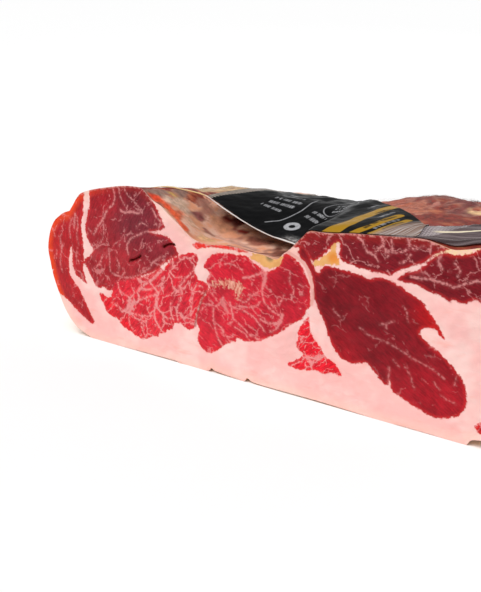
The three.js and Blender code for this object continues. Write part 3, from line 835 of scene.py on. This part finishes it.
# What is printed on it, as x and distance back: bars with a half-width, rows of upright strokes
# with a half-height, a seed and two ends, one curved line, and two rings with their radii.
GOLD_BARS = [(4.7, [(37.6, -2), (38.4, 4), (40, 12), (40.8, 22), (41.4, 32), (43.4, 42), (46.6, 51)]),
             (2.4, [(48.4, -3), (50.9, 2.8), (53.4, 6.9), (55.6, 12.7), (56.8, 21.3), (58.4, 30)]),
             (1.9, [(58, 0), (60.5, 4.4), (63.7, 13.4), (65.6, 24)])]
DARK_ROWS = [(1.1, 0.5, (44.4, 33), (46.6, 43)), (0.9, 2.5, (52, 5), (57.6, 27)),
             (0.8, 4.5, (61, 5), (65.2, 19))]
WHITE_ROWS = [
    (1.2, 1.5, (50.2, 24), (52.4, 36)), (1.0, 3.5, (56.8, 5), (61.2, 22)), (1.1, 5.5, (31.6, 51), (34.6, 58)),
    (1.0, 6.5, (-2.6, 57), (8.0, 51)), (1.2, 8.5, (-4.6, 52.4), (5.0, 47)),
    (1.3, 10.5, (-33, 53), (-20, 51)), (1.5, 12.5, (-32.6, 59), (-16, 58)),
    (1.5, 14.5, (-31.4, 65.4), (-15, 64.4)), (1.5, 16.5, (-31, 73), (-17, 72)),
    (1.6, 18.5, (-31, 82), (-24, 81.4)),
]
WHITE_STROKE = (0.3, [(-19.4, 35.4), (-16.6, 38.8), (-13.6, 43.3), (-10.6, 51.4), (-9.0, 59.2), (-9.4, 75)])
DISC, RING = ((-5.0, 39.0), 4.4, 1.8), ((11.5, 62.0), 9.4, 8.9)


def printed_row(plan, half_height, seed, start, end):
    """A row of upright strokes with uneven gaps between them, as generic small print."""
    start, end = np.array(start, float), np.array(end, float)
    length = np.linalg.norm(end - start)
    away = distance_to_line(plan, np.array([start, end]))
    along_row = (plan - start) @ (end - start) / length
    random = np.random.default_rng(int(seed * 10))
    steps = random.choice([0.75, 0.9, 1.1, 2.0], int(length / 0.7), p=[0.3, 0.3, 0.25, 0.15])
    nearest = np.abs(along_row[:, None] - np.cumsum(steps)[None]).min(axis=1)
    return np.maximum(away - half_height, nearest - 0.22)


def print_label(label, plan):
    """Stores, in millimetres, how far each point lies outside the gold and the white print."""
    gold = np.min([distance_to_line(plan, rounded(line)) - half for half, line in GOLD_BARS], axis=0)
    for row in DARK_ROWS:
        gold = np.maximum(gold, 0.1 - printed_row(plan, *row))
    white = np.min([printed_row(plan, *row) for row in WHITE_ROWS], axis=0)
    white = np.minimum(white, distance_to_line(plan, rounded(WHITE_STROKE[1])) - WHITE_STROKE[0])
    for centre, outer, inner in (DISC, RING):
        away = np.hypot(*(plan - np.array(centre)).T)
        white = np.minimum(white, np.maximum(away - outer, inner - away))
    x, back = RING[0]
    for seed, turn in enumerate((-3.6, 0.0, 3.6)):
        row = printed_row(plan, 0.9, 20.5 + seed, (x - 4.5, back + turn), (x + 4.5, back + turn - 2))
        white = np.minimum(white, row)
    keep(label, "gold", np.clip(gold, -3, 3))
    keep(label, "white", np.clip(white, -3, 3))


def make_label(bag):
    """The label's left-over part, laid on the bag, with its print."""
    across, deep = LABEL_STEPS
    bpy.ops.object.select_all(action="DESELECT")
    bpy.ops.mesh.primitive_grid_add(x_subdivisions=across, y_subdivisions=deep, size=1,
                                    location=(0.5, 0.5, 0))
    label = bpy.context.object
    label.name = label.data.name = "front_label_sheet"
    bpy.ops.object.transform_apply(location=True)
    unit = read_points(label)
    left, corner, right = (np.array(p, float) for p in (LABEL_LEFT, LABEL_CORNER, LABEL_RIGHT))
    behind = height_over([LABEL_LEFT, LABEL_CORNER, LABEL_BEND, LABEL_RIGHT])
    x = mixed(left[0], right[0], unit[:, 0] ** 1.1)
    front = bag_edge_back(x) + LABEL_SETBACK * (1 - smooth(8, 20, x))
    back = mixed(front, np.maximum(behind(x), front + 0.02), unit[:, 1])
    plan = np.stack([x, back], axis=1)
    lift = mixed(0.12, LABEL_LIFT, smooth(0, 6, back - front))
    write_points(label, np.stack([x, back + FACE_Y + 0.35, on_bag(bag, x, back) + lift], axis=1))
    print_label(label, plan)
    side = (corner - left) / np.linalg.norm(corner - left)
    keep(label, "plan", np.stack([x, back, (plan - left) @ np.array([side[1], -side[0]])], axis=1))
    keep(label, "front", np.clip(back - front, 0, 20))

    give_thickness(label, LABEL_THICKNESS)
    shade(label, 60)
    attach(label, "root")
    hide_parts("front_label")
    return label


def on_bag(bag, x, back):
    """The bag's height under each place, found by looking straight down."""
    found = np.empty(len(x))
    for k, (place_x, place_back) in enumerate(zip(x, back)):
        start = Vector((place_x * MM, (place_back + 0.4 + FACE_Y) * MM, 0.3))
        hit, spot, _, _ = bag.ray_cast(start, Vector((0, 0, -1)))
        found[k] = spot.z / MM if hit else np.nan
    missing = np.isnan(found)
    found[missing] = np.interp(np.flatnonzero(missing), np.flatnonzero(~missing), found[~missing])
    return found


# ---- Material helpers --------------------------------------------------------------------


class Wiring:
    """Adds nodes to a material or a node group. An input given as a socket is linked, else set."""

    def __init__(self, tree):
        self.tree = tree

    def add(self, kind, inputs=None, **settings):
        node = self.tree.nodes.new(kind)
        for name, value in settings.items():
            setattr(node, name, value)
        for key, value in (inputs or {}).items():
            self.put(node.inputs[key], value)
        return node

    def put(self, socket, value):
        if isinstance(value, bpy.types.NodeSocket):
            self.tree.links.new(value, socket)
        elif isinstance(value, tuple) and len(value) == 3 and socket.type == "RGBA":
            socket.default_value = (*value, 1.0)
        else:
            socket.default_value = value

    def value(self, operation, *inputs):
        node = self.add("ShaderNodeMath", dict(enumerate(inputs)), operation=operation)
        return node.outputs[0]

    def times(self, a, b):
        return self.value("MULTIPLY", a, b)

    def plus(self, a, b):
        return self.value("ADD", a, b)

    def minus(self, a, b):
        return self.value("SUBTRACT", a, b)

    def over(self, a, b):
        return self.value("DIVIDE", a, b)

    def larger(self, a, b):
        return self.value("MAXIMUM", a, b)

    def share(self, value, low, high, to_low=0.0, to_high=1.0):
        """0 below low and 1 above high, or the other way round where low is the larger."""
        node = self.add("ShaderNodeMapRange", {0: value, 1: low, 2: high, 3: to_low, 4: to_high},
                        interpolation_type="SMOOTHSTEP")
        return node.outputs[0]

    def blend(self, share, a, b, mode="MIX"):
        node = self.add("ShaderNodeMix", {0: share, 6: a, 7: b}, data_type="RGBA", blend_type=mode)
        return node.outputs[2]

    def stored(self, name, output="Fac"):
        return self.add("ShaderNodeAttribute", attribute_name=name).outputs[output]

    def noise(self, vector, scale, detail=3.0, roughness=0.55, output="Fac"):
        node = self.add("ShaderNodeTexNoise", {"Vector": vector, "Scale": scale, "Detail": detail,
                                               "Roughness": roughness})
        return node.outputs[output]

    def scaled(self, vector, by):
        node = self.add("ShaderNodeVectorMath", {0: vector, 1: by}, operation="MULTIPLY")
        return node.outputs[0]

    def moved(self, vector, by):
        node = self.add("ShaderNodeVectorMath", {0: vector, 1: by}, operation="ADD")
        return node.outputs[0]

    def millimetres(self):
        """Places on the piece, in millimetres."""
        place = self.add("ShaderNodeTexCoord").outputs["Object"]
        return self.scaled(place, (1000.0, 1000.0, 1000.0))

    def bump(self, height, strength, distance, normal=None):
        inputs = {"Strength": strength, "Distance": distance, "Height": height}
        if normal is not None:
            inputs["Normal"] = normal
        return self.add("ShaderNodeBump", inputs).outputs[0]


def new_material(name):
    material = bpy.data.materials.new(name)
    material.use_nodes = True
    material.node_tree.nodes.clear()
    wiring = Wiring(material.node_tree)
    surface = wiring.add("ShaderNodeBsdfPrincipled")
    output = wiring.add("ShaderNodeOutputMaterial")
    wiring.tree.links.new(surface.outputs[0], output.inputs[0])
    return material, wiring, surface


def new_group(name, inputs, outputs):
    """An effect that several materials share: its sockets, and the wiring to fill it with."""
    group = bpy.data.node_groups.new(name, "ShaderNodeTree")
    for title, kind, default in inputs:
        socket = group.interface.new_socket(title, in_out="INPUT", socket_type=kind)
        if default is not None:
            socket.default_value = default
    for title, kind in outputs:
        group.interface.new_socket(title, in_out="OUTPUT", socket_type=kind)
    wiring = Wiring(group)
    entry = wiring.add("NodeGroupInput")
    leave = wiring.add("NodeGroupOutput")
    return group, wiring, entry.outputs, leave.inputs


def use_group(wiring, group, inputs):
    return wiring.add("ShaderNodeGroup", inputs, node_tree=group).outputs


def marbling_group():
    """Fine branching threads of fat: how much of each point is fat."""
    group, wiring, given, result = new_group(
        "fat_threads",
        [("Fibres", "NodeSocketVector", None), ("Amount", "NodeSocketFloat", 0.5),
         ("Spacing", "NodeSocketFloat", 6.0)],
        [("Fat", "NodeSocketFloat")])
    amount = given["Amount"]
    density = wiring.over(1.0, given["Spacing"])
    total = None
    for k, (size, width, patchy, threshold) in enumerate(((1.0, 0.026, 0.09, 0.50), (1.8, 0.028, 0.14, 0.62),
                                                          (3.0, 0.030, 0.20, 0.74))):
        shifted = wiring.moved(given["Fibres"], (31.0 * k, 17.0 * k, 5.0 * k))
        bent = wiring.noise(shifted, 0.22 * size, 4.0, 0.65, "Color")
        bent = wiring.scaled(wiring.moved(bent, (-0.5, -0.5, -0.5)), (8.0 / size, 8.0 / size, 0.0))
        places = wiring.add("ShaderNodeVectorMath", {0: shifted, 1: bent}, operation="ADD").outputs[0]
        places = wiring.scaled(places, (0.55, 1.0, 1.0))
        cells = wiring.add("ShaderNodeTexVoronoi",
                           {"Vector": places, "Scale": wiring.times(density, size),
                            "Randomness": 1.0}, feature="DISTANCE_TO_EDGE").outputs["Distance"]
        broken = wiring.noise(shifted, patchy, 3.0, 0.7)
        here = wiring.share(wiring.plus(broken, wiring.times(amount, 0.22)),
                            threshold, threshold + 0.16)
        away = wiring.over(cells, wiring.times(here, width))
        thread = wiring.plus(wiring.share(away, 1.6, 0.3, 0.0, 0.8), wiring.share(away, 4.0, 0.6, 0.0, 0.2))
        thread = wiring.times(thread, wiring.share(here, 0.02, 0.25))
        total = thread if total is None else wiring.larger(total, thread)
    wiring.put(result["Fat"], total)
    return group


def grain_group():
    """Meat's fibres seen end-on and along: light and dark flecks, and a height for bumps."""
    group, wiring, given, result = new_group(
        "meat_grain",
        [("Fibres", "NodeSocketVector", None)],
        [("Tone", "NodeSocketFloat"), ("Height", "NodeSocketFloat"), ("Flecks", "NodeSocketFloat")])
    drawn = wiring.scaled(given["Fibres"], (0.30, 1.5, 1.0))
    streaks = wiring.noise(drawn, 0.9, 4.0, 0.62)
    fine = wiring.noise(given["Fibres"], 2.4, 3.0, 0.7)
    blotches = wiring.noise(given["Fibres"], 0.11, 3.0, 0.6)
    tone = wiring.plus(wiring.times(streaks, 0.45), wiring.times(fine, 0.25))
    tone = wiring.plus(tone, wiring.times(blotches, 0.30))
    flecks = wiring.share(wiring.noise(given["Fibres"], 1.9, 2.0, 0.8), 0.70, 0.80)
    wiring.put(result["Tone"], tone)
    wiring.put(result["Height"], wiring.plus(streaks, wiring.times(fine, 0.6)))
    wiring.put(result["Flecks"], flecks)
    return group


FAT_PINK = (0.99, 0.545, 0.51)
FAT_PEACH = (0.97, 0.42, 0.34)
FAT_WHITE = (1.0, 0.66, 0.61)
FAT_CREAM = (1.0, 0.66, 0.52)
THREAD_PINK = (0.86, 0.30, 0.29)


def paint_lean(wiring, places, threads, grain):
    """The colour of the muscles with their marbling, and the marbling's mask."""
    fibres = wiring.stored("fibres", "Vector")
    flesh = wiring.stored("flesh", "Color")
    lean = wiring.stored("lean")
    tone = use_group(wiring, grain, {"Fibres": fibres})
    factor = wiring.share(tone["Tone"], 0.38, 0.62, 0.70, 1.32)
    shaded = wiring.add("ShaderNodeVectorMath", {0: flesh, 3: factor}, operation="SCALE").outputs[0]
    skin = wiring.share(lean, 2.2, 0.2)
    shaded = wiring.blend(wiring.times(skin, 0.42), shaded, (0.80, 0.030, 0.030))
    rim = wiring.share(wiring.stored("rim"), 5.0, 0.8)
    dried = wiring.blend(wiring.noise(places, 0.25, 2.0), (0.98, 0.085, 0.018), (0.74, 0.040, 0.014))
    left = wiring.share(wiring.add("ShaderNodeSeparateXYZ", {0: places}).outputs[0], -90.0, -125.0)
    shaded = wiring.blend(wiring.times(rim, wiring.plus(0.12, wiring.times(left, 0.88))), shaded, dried)
    # painted highlight: a pinkish line along the cut face's edge, except at the left
    face_rim_highlight = wiring.times(wiring.share(wiring.stored("rim"), 1.2, 0.3), wiring.share(
        wiring.noise(places, 0.6, 3.0), 0.42, 0.56, 0.0, 0.75))
    shaded = wiring.blend(wiring.times(face_rim_highlight, wiring.minus(1.0, left)), shaded,
                          (0.80, 0.34, 0.28))
    shaded = wiring.blend(wiring.times(tone["Flecks"], 0.30), shaded, (0.62, 0.16, 0.16))
    marbling = wiring.stored("marbling")
    fat = use_group(wiring, threads, {"Fibres": fibres, "Amount": marbling, "Spacing": 9.0})["Fat"]
    wobble = wiring.share(wiring.noise(places, 0.7, 3.0, 0.6), 0.3, 0.7, -0.38, 0.38)
    away = wiring.plus(wiring.stored("fat_line"), wobble)
    line = wiring.plus(wiring.share(away, 0.30, -0.34, 0.0, 0.85), wiring.share(away, 1.2, 0.0, 0.0, 0.15))
    fat = wiring.larger(wiring.times(fat, wiring.share(marbling, 0.0, 0.8, 0.20, 0.85)),
                       wiring.times(line, wiring.share(marbling, 0.0, 0.8, 0.38, 0.90)))
    tint = wiring.blend(wiring.noise(places, 0.3, 2.0), THREAD_PINK, (0.93, 0.44, 0.42))
    return wiring.blend(fat, shaded, tint), fat, tone["Height"]


def paint_fat(wiring, places):
    blotches = wiring.noise(places, 0.045, 3.0, 0.55)
    colour = wiring.blend(wiring.share(blotches, 0.42, 0.62), FAT_PINK, FAT_WHITE)
    peach = wiring.share(wiring.noise(wiring.scaled(places, (0.5, 1.0, 1.6)), 0.11, 4.0, 0.65), 0.56, 0.72)
    colour = wiring.blend(wiring.times(peach, 0.45), colour, FAT_PEACH)
    strands = wiring.share(wiring.noise(wiring.scaled(places, (0.16, 1.0, 0.9)), 0.5, 4.0, 0.6), 0.56, 0.70)
    colour = wiring.blend(wiring.times(strands, 0.22), colour, (1.0, 0.74, 0.70))
    edge = wiring.share(wiring.stored("rim"), 7.0, 0.4)
    colour = wiring.blend(wiring.times(edge, 0.35), colour, FAT_CREAM)
    parts = wiring.add("ShaderNodeSeparateXYZ", {0: places}).outputs
    corner = wiring.times(wiring.share(parts[0], 80.0, 92.0), wiring.share(parts[2], 82.0, 86.0))
    patchy = wiring.share(wiring.noise(places, 0.28, 3.0, 0.6), 0.3, 0.6)
    return wiring.blend(wiring.times(corner, patchy), colour, (0.98, 0.70, 0.42))


def paint_details(wiring, places, colour):
    """Yellow fat, the brown tendon, the pale sheath, and painted shade in the cracks."""
    wobble = wiring.share(wiring.noise(places, 0.55, 3.0, 0.6), 0.3, 0.7, -0.7, 0.7)
    yellow = wiring.share(wiring.plus(wiring.stored("yellow"), wobble), -0.3, 0.5)
    gold = wiring.blend(wiring.noise(places, 0.32, 3.0), (0.88, 0.52, 0.20), (0.78, 0.34, 0.10))
    for (x, z), reach, tint in ((*ORANGE_CORE, (0.85, 0.27, 0.03)), (*GREEN_CORE, (0.22, 0.17, 0.09))):
        middle = wiring.moved(places, (-x * X_SCALE, -FACE_Y, -z * Z_SCALE))
        away = wiring.add("ShaderNodeVectorMath", {0: middle}, operation="LENGTH").outputs["Value"]
        gold = wiring.blend(wiring.times(wiring.share(away, reach * 1.3, reach * 0.3), 0.8),
                            gold, tint)
    colour = wiring.blend(yellow, colour, gold)
    ribs = wiring.share(wiring.noise(wiring.scaled(places, (1.6, 1.0, 0.7)), 0.55, 3.0, 0.6), 0.40, 0.62)
    tendon = wiring.share(wiring.plus(wiring.stored("tendon"), wiring.times(wobble, 2.2)), -0.2, 1.0)
    ribbed = wiring.blend(ribs, (0.64, 0.16, 0.11), (0.88, 0.50, 0.36))
    colour = wiring.blend(wiring.times(tendon, 0.85), colour, ribbed)
    sheath = wiring.share(wiring.stored("sheath"), 0.5, -0.3)
    colour = wiring.blend(wiring.times(sheath, 0.8), colour, (0.84, 0.40, 0.34))
    seam = wiring.share(wiring.stored("red_seam"), 0.6, -0.4)
    colour = wiring.blend(wiring.times(seam, 0.6), colour, (0.30, 0.05, 0.04))
    # painted shade: the cracks drawn near black
    slit = wiring.share(wiring.plus(wiring.stored("slit"), wiring.times(wobble, 0.7)), 0.5, -0.4)
    return wiring.blend(slit, colour, (0.15, 0.007, 0.004))


def paint_outside(wiring, places):
    """The ham's outside: fat rind below and at the sides, dried lean and fat along the top."""
    up = wiring.add("ShaderNodeSeparateXYZ", {0: wiring.add("ShaderNodeNewGeometry").outputs["Normal"]})
    broad = wiring.noise(places, 0.035, 4.0, 0.6)
    rind = wiring.blend(wiring.share(broad, 0.38, 0.62), (0.93, 0.62, 0.40), (0.86, 0.45, 0.24))
    spots = wiring.share(wiring.noise(places, 0.16, 4.0, 0.7), 0.60, 0.76)
    rind = wiring.blend(wiring.times(spots, 0.5), rind, (0.62, 0.22, 0.09))
    medium = wiring.noise(places, 0.075, 4.0, 0.62)
    fine = wiring.noise(places, 0.30, 4.0, 0.65)
    groove = wiring.blend(wiring.share(medium, 0.40, 0.60), (0.80, 0.34, 0.19), (0.88, 0.55, 0.42))
    groove = wiring.blend(wiring.times(wiring.share(fine, 0.52, 0.70), 0.6), groove,
                          (0.62, 0.16, 0.07))
    crust = wiring.blend(wiring.share(fine, 0.35, 0.65), (0.30, 0.038, 0.022), (0.14, 0.016, 0.011))
    crust = wiring.blend(wiring.times(wiring.share(medium, 0.50, 0.68), 0.7), crust,
                         (0.66, 0.20, 0.09))
    bare = wiring.plus(wiring.stored("crust"), wiring.share(medium, 0.3, 0.7, -0.4, 0.4))
    top = wiring.blend(wiring.share(bare, 0.32, 0.72), groove, crust)
    # the top's patches, two of them painted shadow under the film
    mottled = wiring.add("ShaderNodeVectorMath", {0: wiring.stored("tint", "Color"), 3: wiring.share(
        fine, 0.3, 0.7, 0.72, 1.28)}, operation="SCALE").outputs[0]
    seen = wiring.plus(wiring.stored("tinted"), wiring.share(fine, 0.3, 0.7, -0.12, 0.12))
    top = wiring.blend(wiring.share(seen, 0.08, 0.75), top, mottled)
    facing = wiring.plus(up.outputs[2], wiring.share(medium, 0.3, 0.7, -0.25, 0.25))
    return wiring.blend(wiring.share(facing, 0.30, 0.62), rind, top)


def ham_material(threads, grain):
    material, wiring, surface = new_material("cured_ham_flesh_and_fat")
    places = wiring.millimetres()
    lean_colour, marbling, grain_height = paint_lean(wiring, places, threads, grain)
    fat_colour = paint_fat(wiring, places)
    ragged = wiring.share(wiring.noise(places, 0.45, 4.0, 0.7), 0.25, 0.75, -0.65, 0.65)
    is_lean = wiring.share(wiring.plus(wiring.stored("lean"), ragged), -0.30, 0.38)
    colour = wiring.blend(is_lean, fat_colour, lean_colour)
    colour = paint_details(wiring, places, colour)
    outside = wiring.share(wiring.stored("outside"), 0.15, 0.75)
    colour = wiring.blend(outside, colour, paint_outside(wiring, places))
    wiring.put(surface.inputs["Base Color"], colour)

    damp = wiring.share(wiring.noise(places, 0.12, 3.0), 0.3, 0.7, 0.34, 0.52)
    wiring.put(surface.inputs["Roughness"], wiring.plus(damp, wiring.times(outside, 0.10)))
    surface.inputs["Specular IOR Level"].default_value = 0.12
    surface.inputs["Subsurface Weight"].default_value = 0.05
    surface.inputs["Subsurface Radius"].default_value = (1.0, 0.35, 0.25)
    surface.inputs["Subsurface Scale"].default_value = 0.004
    soft = wiring.noise(places, 0.45, 4.0, 0.6)
    height = wiring.plus(wiring.times(grain_height, is_lean), wiring.times(soft, 0.9))
    height = wiring.plus(height, wiring.times(marbling, 0.5))
    wiring.put(surface.inputs["Normal"], wiring.bump(height, 0.32, 0.0007))
    return material


def film_material():
    material, wiring, surface = new_material("clear_bag_film")
    places = wiring.millimetres()
    plan = wiring.stored("plan", "Vector")
    drawn = wiring.noise(wiring.scaled(places, (1.0, 0.22, 0.6)), 0.10, 4.0, 0.6)
    creases = wiring.noise(wiring.scaled(places, (1.0, 0.5, 1.0)), 0.35, 4.0, 0.6)
    turned = wiring.add("ShaderNodeVectorRotate", {"Vector": plan, "Angle": math.radians(-33)},
                        rotation_type="Z_AXIS").outputs[0]
    streaks = wiring.noise(wiring.scaled(turned, (0.05, 1.0, 0.0)), 0.42, 4.0, 0.55)
    loose = wiring.stored("loose")
    cloudy = wiring.share(drawn, 0.52, 0.75, 0.0, 0.04)
    clear = wiring.plus(0.03, cloudy)
    # the loose flap: hazy crumpled film, nearly opaque, with painted reflections as light and dark grey
    # streaks
    veiled = wiring.share(streaks, 0.35, 0.60, 0.55, 0.92)
    alpha = wiring.plus(wiring.times(clear, wiring.minus(1.0, loose)),
                         wiring.times(veiled, loose))
    flap_haze_and_reflection = wiring.blend(wiring.share(streaks, 0.34, 0.66), (0.06, 0.035, 0.038), (0.25, 0.195, 0.20))
    colour = wiring.blend(loose, (0.60, 0.52, 0.50), flap_haze_and_reflection)

    seal = wiring.share(wiring.stored("seal"), 3.6, 3.0)
    teeth = wiring.add("ShaderNodeTexChecker", {"Vector": plan, "Scale": 0.9}).outputs["Fac"]
    colour = wiring.blend(seal, colour, wiring.blend(wiring.times(teeth, 0.7), (0.22, 0.17, 0.18),
                                                    (0.60, 0.52, 0.52)))
    alpha = wiring.larger(alpha, wiring.times(seal, wiring.times(loose, 0.85)))
    parts = wiring.add("ShaderNodeSeparateXYZ", {0: plan}).outputs
    # painted highlight: a bright cream line along a crease of the flap
    (start_x, start_back), across = GLINT_LINE
    crossed = wiring.plus(wiring.times(wiring.minus(parts[0], start_x), across[0]),
                           wiring.times(wiring.minus(parts[1], start_back), across[1]))
    glint = wiring.times(wiring.share(wiring.value("ABSOLUTE", crossed), 0.6, 0.2),
                         wiring.share(parts[0], 82.0, 86.0))
    glint = wiring.times(glint, loose)
    colour = wiring.blend(glint, colour, (0.98, 0.86, 0.62))
    alpha = wiring.larger(alpha, glint)
    # painted highlight: the cut front edge as a bright line, golden at the left
    line = wiring.times(wiring.share(wiring.stored("front"), 0.75, 0.45), wiring.share(parts[0], 20.0, 14.0))
    bright = wiring.blend(wiring.share(parts[0], -54.0, -60.0), (0.86, 0.84, 0.82), (0.95, 0.66, 0.30))
    colour = wiring.blend(line, colour, bright)
    alpha = wiring.larger(alpha, line)
    wiring.put(surface.inputs["Base Color"], colour)
    wiring.put(surface.inputs["Alpha"], alpha)
    surface.inputs["Roughness"].default_value = 0.12
    surface.inputs["Specular IOR Level"].default_value = 0.7
    height = wiring.plus(drawn, wiring.times(creases, 0.4))
    wiring.put(surface.inputs["Normal"], wiring.bump(height, 0.35, 0.002))
    return material


def film_edge_material():
    material, wiring, surface = new_material("cut_film_edge")
    places = wiring.millimetres()
    # painted highlight on the film's cut edges: light and darker grey in patches, golden at the left
    wear_and_sheen = wiring.share(wiring.noise(places, 0.4, 3.0), 0.35, 0.65)
    x = wiring.add("ShaderNodeSeparateXYZ", {0: places}).outputs[0]
    cut_edge_highlight = wiring.blend(wear_and_sheen, (0.95, 0.93, 0.92), (0.50, 0.47, 0.46))
    wiring.put(surface.inputs["Base Color"], wiring.blend(wiring.share(x, -54.0, -64.0), cut_edge_highlight,
                                                          (0.92, 0.62, 0.26)))
    surface.inputs["Roughness"].default_value = 0.25
    return material


def label_material():
    material, wiring, surface = new_material("black_label_gold_bands")
    places = wiring.millimetres()
    plan = wiring.stored("plan", "Vector")
    parts = wiring.add("ShaderNodeSeparateXYZ", {0: plan}).outputs
    wear_and_sheen = wiring.noise(wiring.scaled(plan, (1.0, 0.35, 0.0)), 0.9, 4.0, 0.7)
    gold = wiring.share(wiring.stored("gold"), 0.28, -0.28)
    colour = wiring.blend(gold, (0.0045, 0.0045, 0.005), (0.38, 0.205, 0.012))
    white = wiring.share(wiring.stored("white"), 0.30, -0.30)
    colour = wiring.blend(wiring.times(white, wiring.share(wear_and_sheen, 0.30, 0.5, 0.35, 0.85)), colour,
                          (0.46, 0.46, 0.48))
    # the torn, toothed border along its left side
    tooth = wiring.add("ShaderNodeTexWave", {"Vector": plan, "Scale": 0.14}, bands_direction="Y",
                       wave_profile="TRI").outputs["Fac"]
    reach = wiring.plus(parts[2], wiring.times(tooth, 1.3))
    border = wiring.times(wiring.share(reach, 3.9, 3.3), wiring.share(wear_and_sheen, 0.30, 0.60, 0.55, 1.0))
    colour = wiring.blend(border, colour, wiring.blend(tooth, (0.42, 0.36, 0.31), (0.20, 0.16, 0.13)))
    # creased film catching light at the bottom, and along its right end
    hem = wiring.times(wiring.share(wiring.stored("front"), 8.0, 0.5),
                       wiring.share(wiring.value("ABSOLUTE", wiring.minus(parts[0], 8.0)), 13.0, 5.0))
    crumpled = wiring.share(wiring.noise(wiring.scaled(plan, (0.6, 1.0, 0.0)), 0.8, 4.0, 0.7), 0.40, 0.62)
    colour = wiring.blend(wiring.times(hem, wiring.times(crumpled, 0.75)), colour,
                          (0.55, 0.52, 0.50))
    leaning = wiring.minus(parts[0], wiring.times(parts[1], 0.5))
    swept = wiring.add("ShaderNodeCombineXYZ", {0: leaning, 1: wiring.times(parts[1], 0.03)}).outputs[0]
    lines = wiring.noise(swept, 0.7, 3.0, 0.6)
    glare = wiring.share(leaning, 55.0, 62.0)
    streaky = wiring.blend(wiring.share(lines, 0.38, 0.62), (0.20, 0.10, 0.06), (0.50, 0.44, 0.42))
    colour = wiring.blend(wiring.times(glare, 0.9), colour, streaky)
    wiring.put(surface.inputs["Base Color"], colour)
    surface.inputs["Roughness"].default_value = 0.3
    surface.inputs["Specular IOR Level"].default_value = 0.03
    fine = wiring.noise(wiring.scaled(places, (1.0, 0.35, 1.0)), 0.30, 4.0, 0.6)
    wiring.put(surface.inputs["Normal"], wiring.bump(fine, 0.3, 0.0006))
    return material


# ---- Stage -------------------------------------------------------------------------------

CAMERA_PLACE = (231.0, -373.3, 217.8)  # millimetres, with y counted from the cut face
CAMERA_ROUND, CAMERA_DOWN = 33, 21  # degrees it looks round from straight on, and down
CAMERA_LENS, CAMERA_SENSOR = 57.77, 36.0
FLOOR_SIZE, FLOOR_DROP = 12, 0.0001  # metres, the second to keep it clear of the ham
ROOM_LIGHT = 0.30


def make_camera():
    data = bpy.data.cameras.new("view")
    data.sensor_width = CAMERA_SENSOR
    data.lens = CAMERA_LENS
    camera = bpy.data.objects.new("view", data)
    bpy.context.collection.objects.link(camera)
    x, y, z = CAMERA_PLACE
    camera.location = np.array([x, y + FACE_Y, z]) * MM
    azimuth, elevation = math.radians(CAMERA_ROUND), math.radians(CAMERA_DOWN)
    camera.rotation_euler = (math.pi / 2 - elevation, 0, azimuth)
    bpy.context.scene.camera = camera


def make_lamp(name, place, aim, size, power):
    data = bpy.data.lights.new(name, "AREA")
    data.shape = "DISK"
    data.size = size
    data.energy = power
    lamp = bpy.data.objects.new(name, data)
    bpy.context.collection.objects.link(lamp)
    lamp.location = place
    lamp.rotation_euler = (Vector(aim) - Vector(place)).to_track_quat("-Z", "Y").to_euler()


def make_sky_panel(towards, angle, strength):
    """Even, soft light from one side of the room, the same over the whole floor."""
    data = bpy.data.lights.new("main light", "SUN")
    data.energy = strength
    data.angle = math.radians(angle)
    lamp = bpy.data.objects.new("main light", data)
    bpy.context.collection.objects.link(lamp)
    lamp.rotation_euler = (-Vector(towards)).to_track_quat("-Z", "Y").to_euler()


def make_stage():
    bpy.ops.object.select_all(action="DESELECT")
    bpy.ops.mesh.primitive_plane_add(size=FLOOR_SIZE, location=(0, 0, -FLOOR_DROP))
    floor = bpy.context.object
    floor.name = "floor"
    material, wiring, surface = new_material("pale_floor")
    wiring.put(surface.inputs["Base Color"], (0.95, 0.95, 0.95))
    surface.inputs["Roughness"].default_value = 0.9
    surface.inputs["Specular IOR Level"].default_value = 0.1
    floor.data.materials.append(material)
    world = bpy.data.worlds.new("studio")
    world.use_nodes = True
    world.node_tree.nodes["Background"].inputs[0].default_value = (1, 1, 1, 1)
    world.node_tree.nodes["Background"].inputs[1].default_value = ROOM_LIGHT
    bpy.context.scene.world = world
    make_sky_panel((-0.25, -0.38, 0.90), 50, 2.7)
    make_lamp("back panel", (0.25, 1.5, 0.55), (0.08, 0, 0.08), 0.35, 1.6)
    bpy.context.scene.view_settings.view_transform = "Standard"


# ---- Assembly ----------------------------------------------------------------------------

make_camera()
make_stage()
ham_piece = make_ham()
ham_piece.data.materials.append(ham_material(marbling_group(), grain_group()))
bag_piece = make_bag()
label_piece = make_label(bag_piece)
bag_piece.data.materials.append(film_material())
bag_piece.data.materials.append(film_edge_material())
label_piece.data.materials.append(label_material())
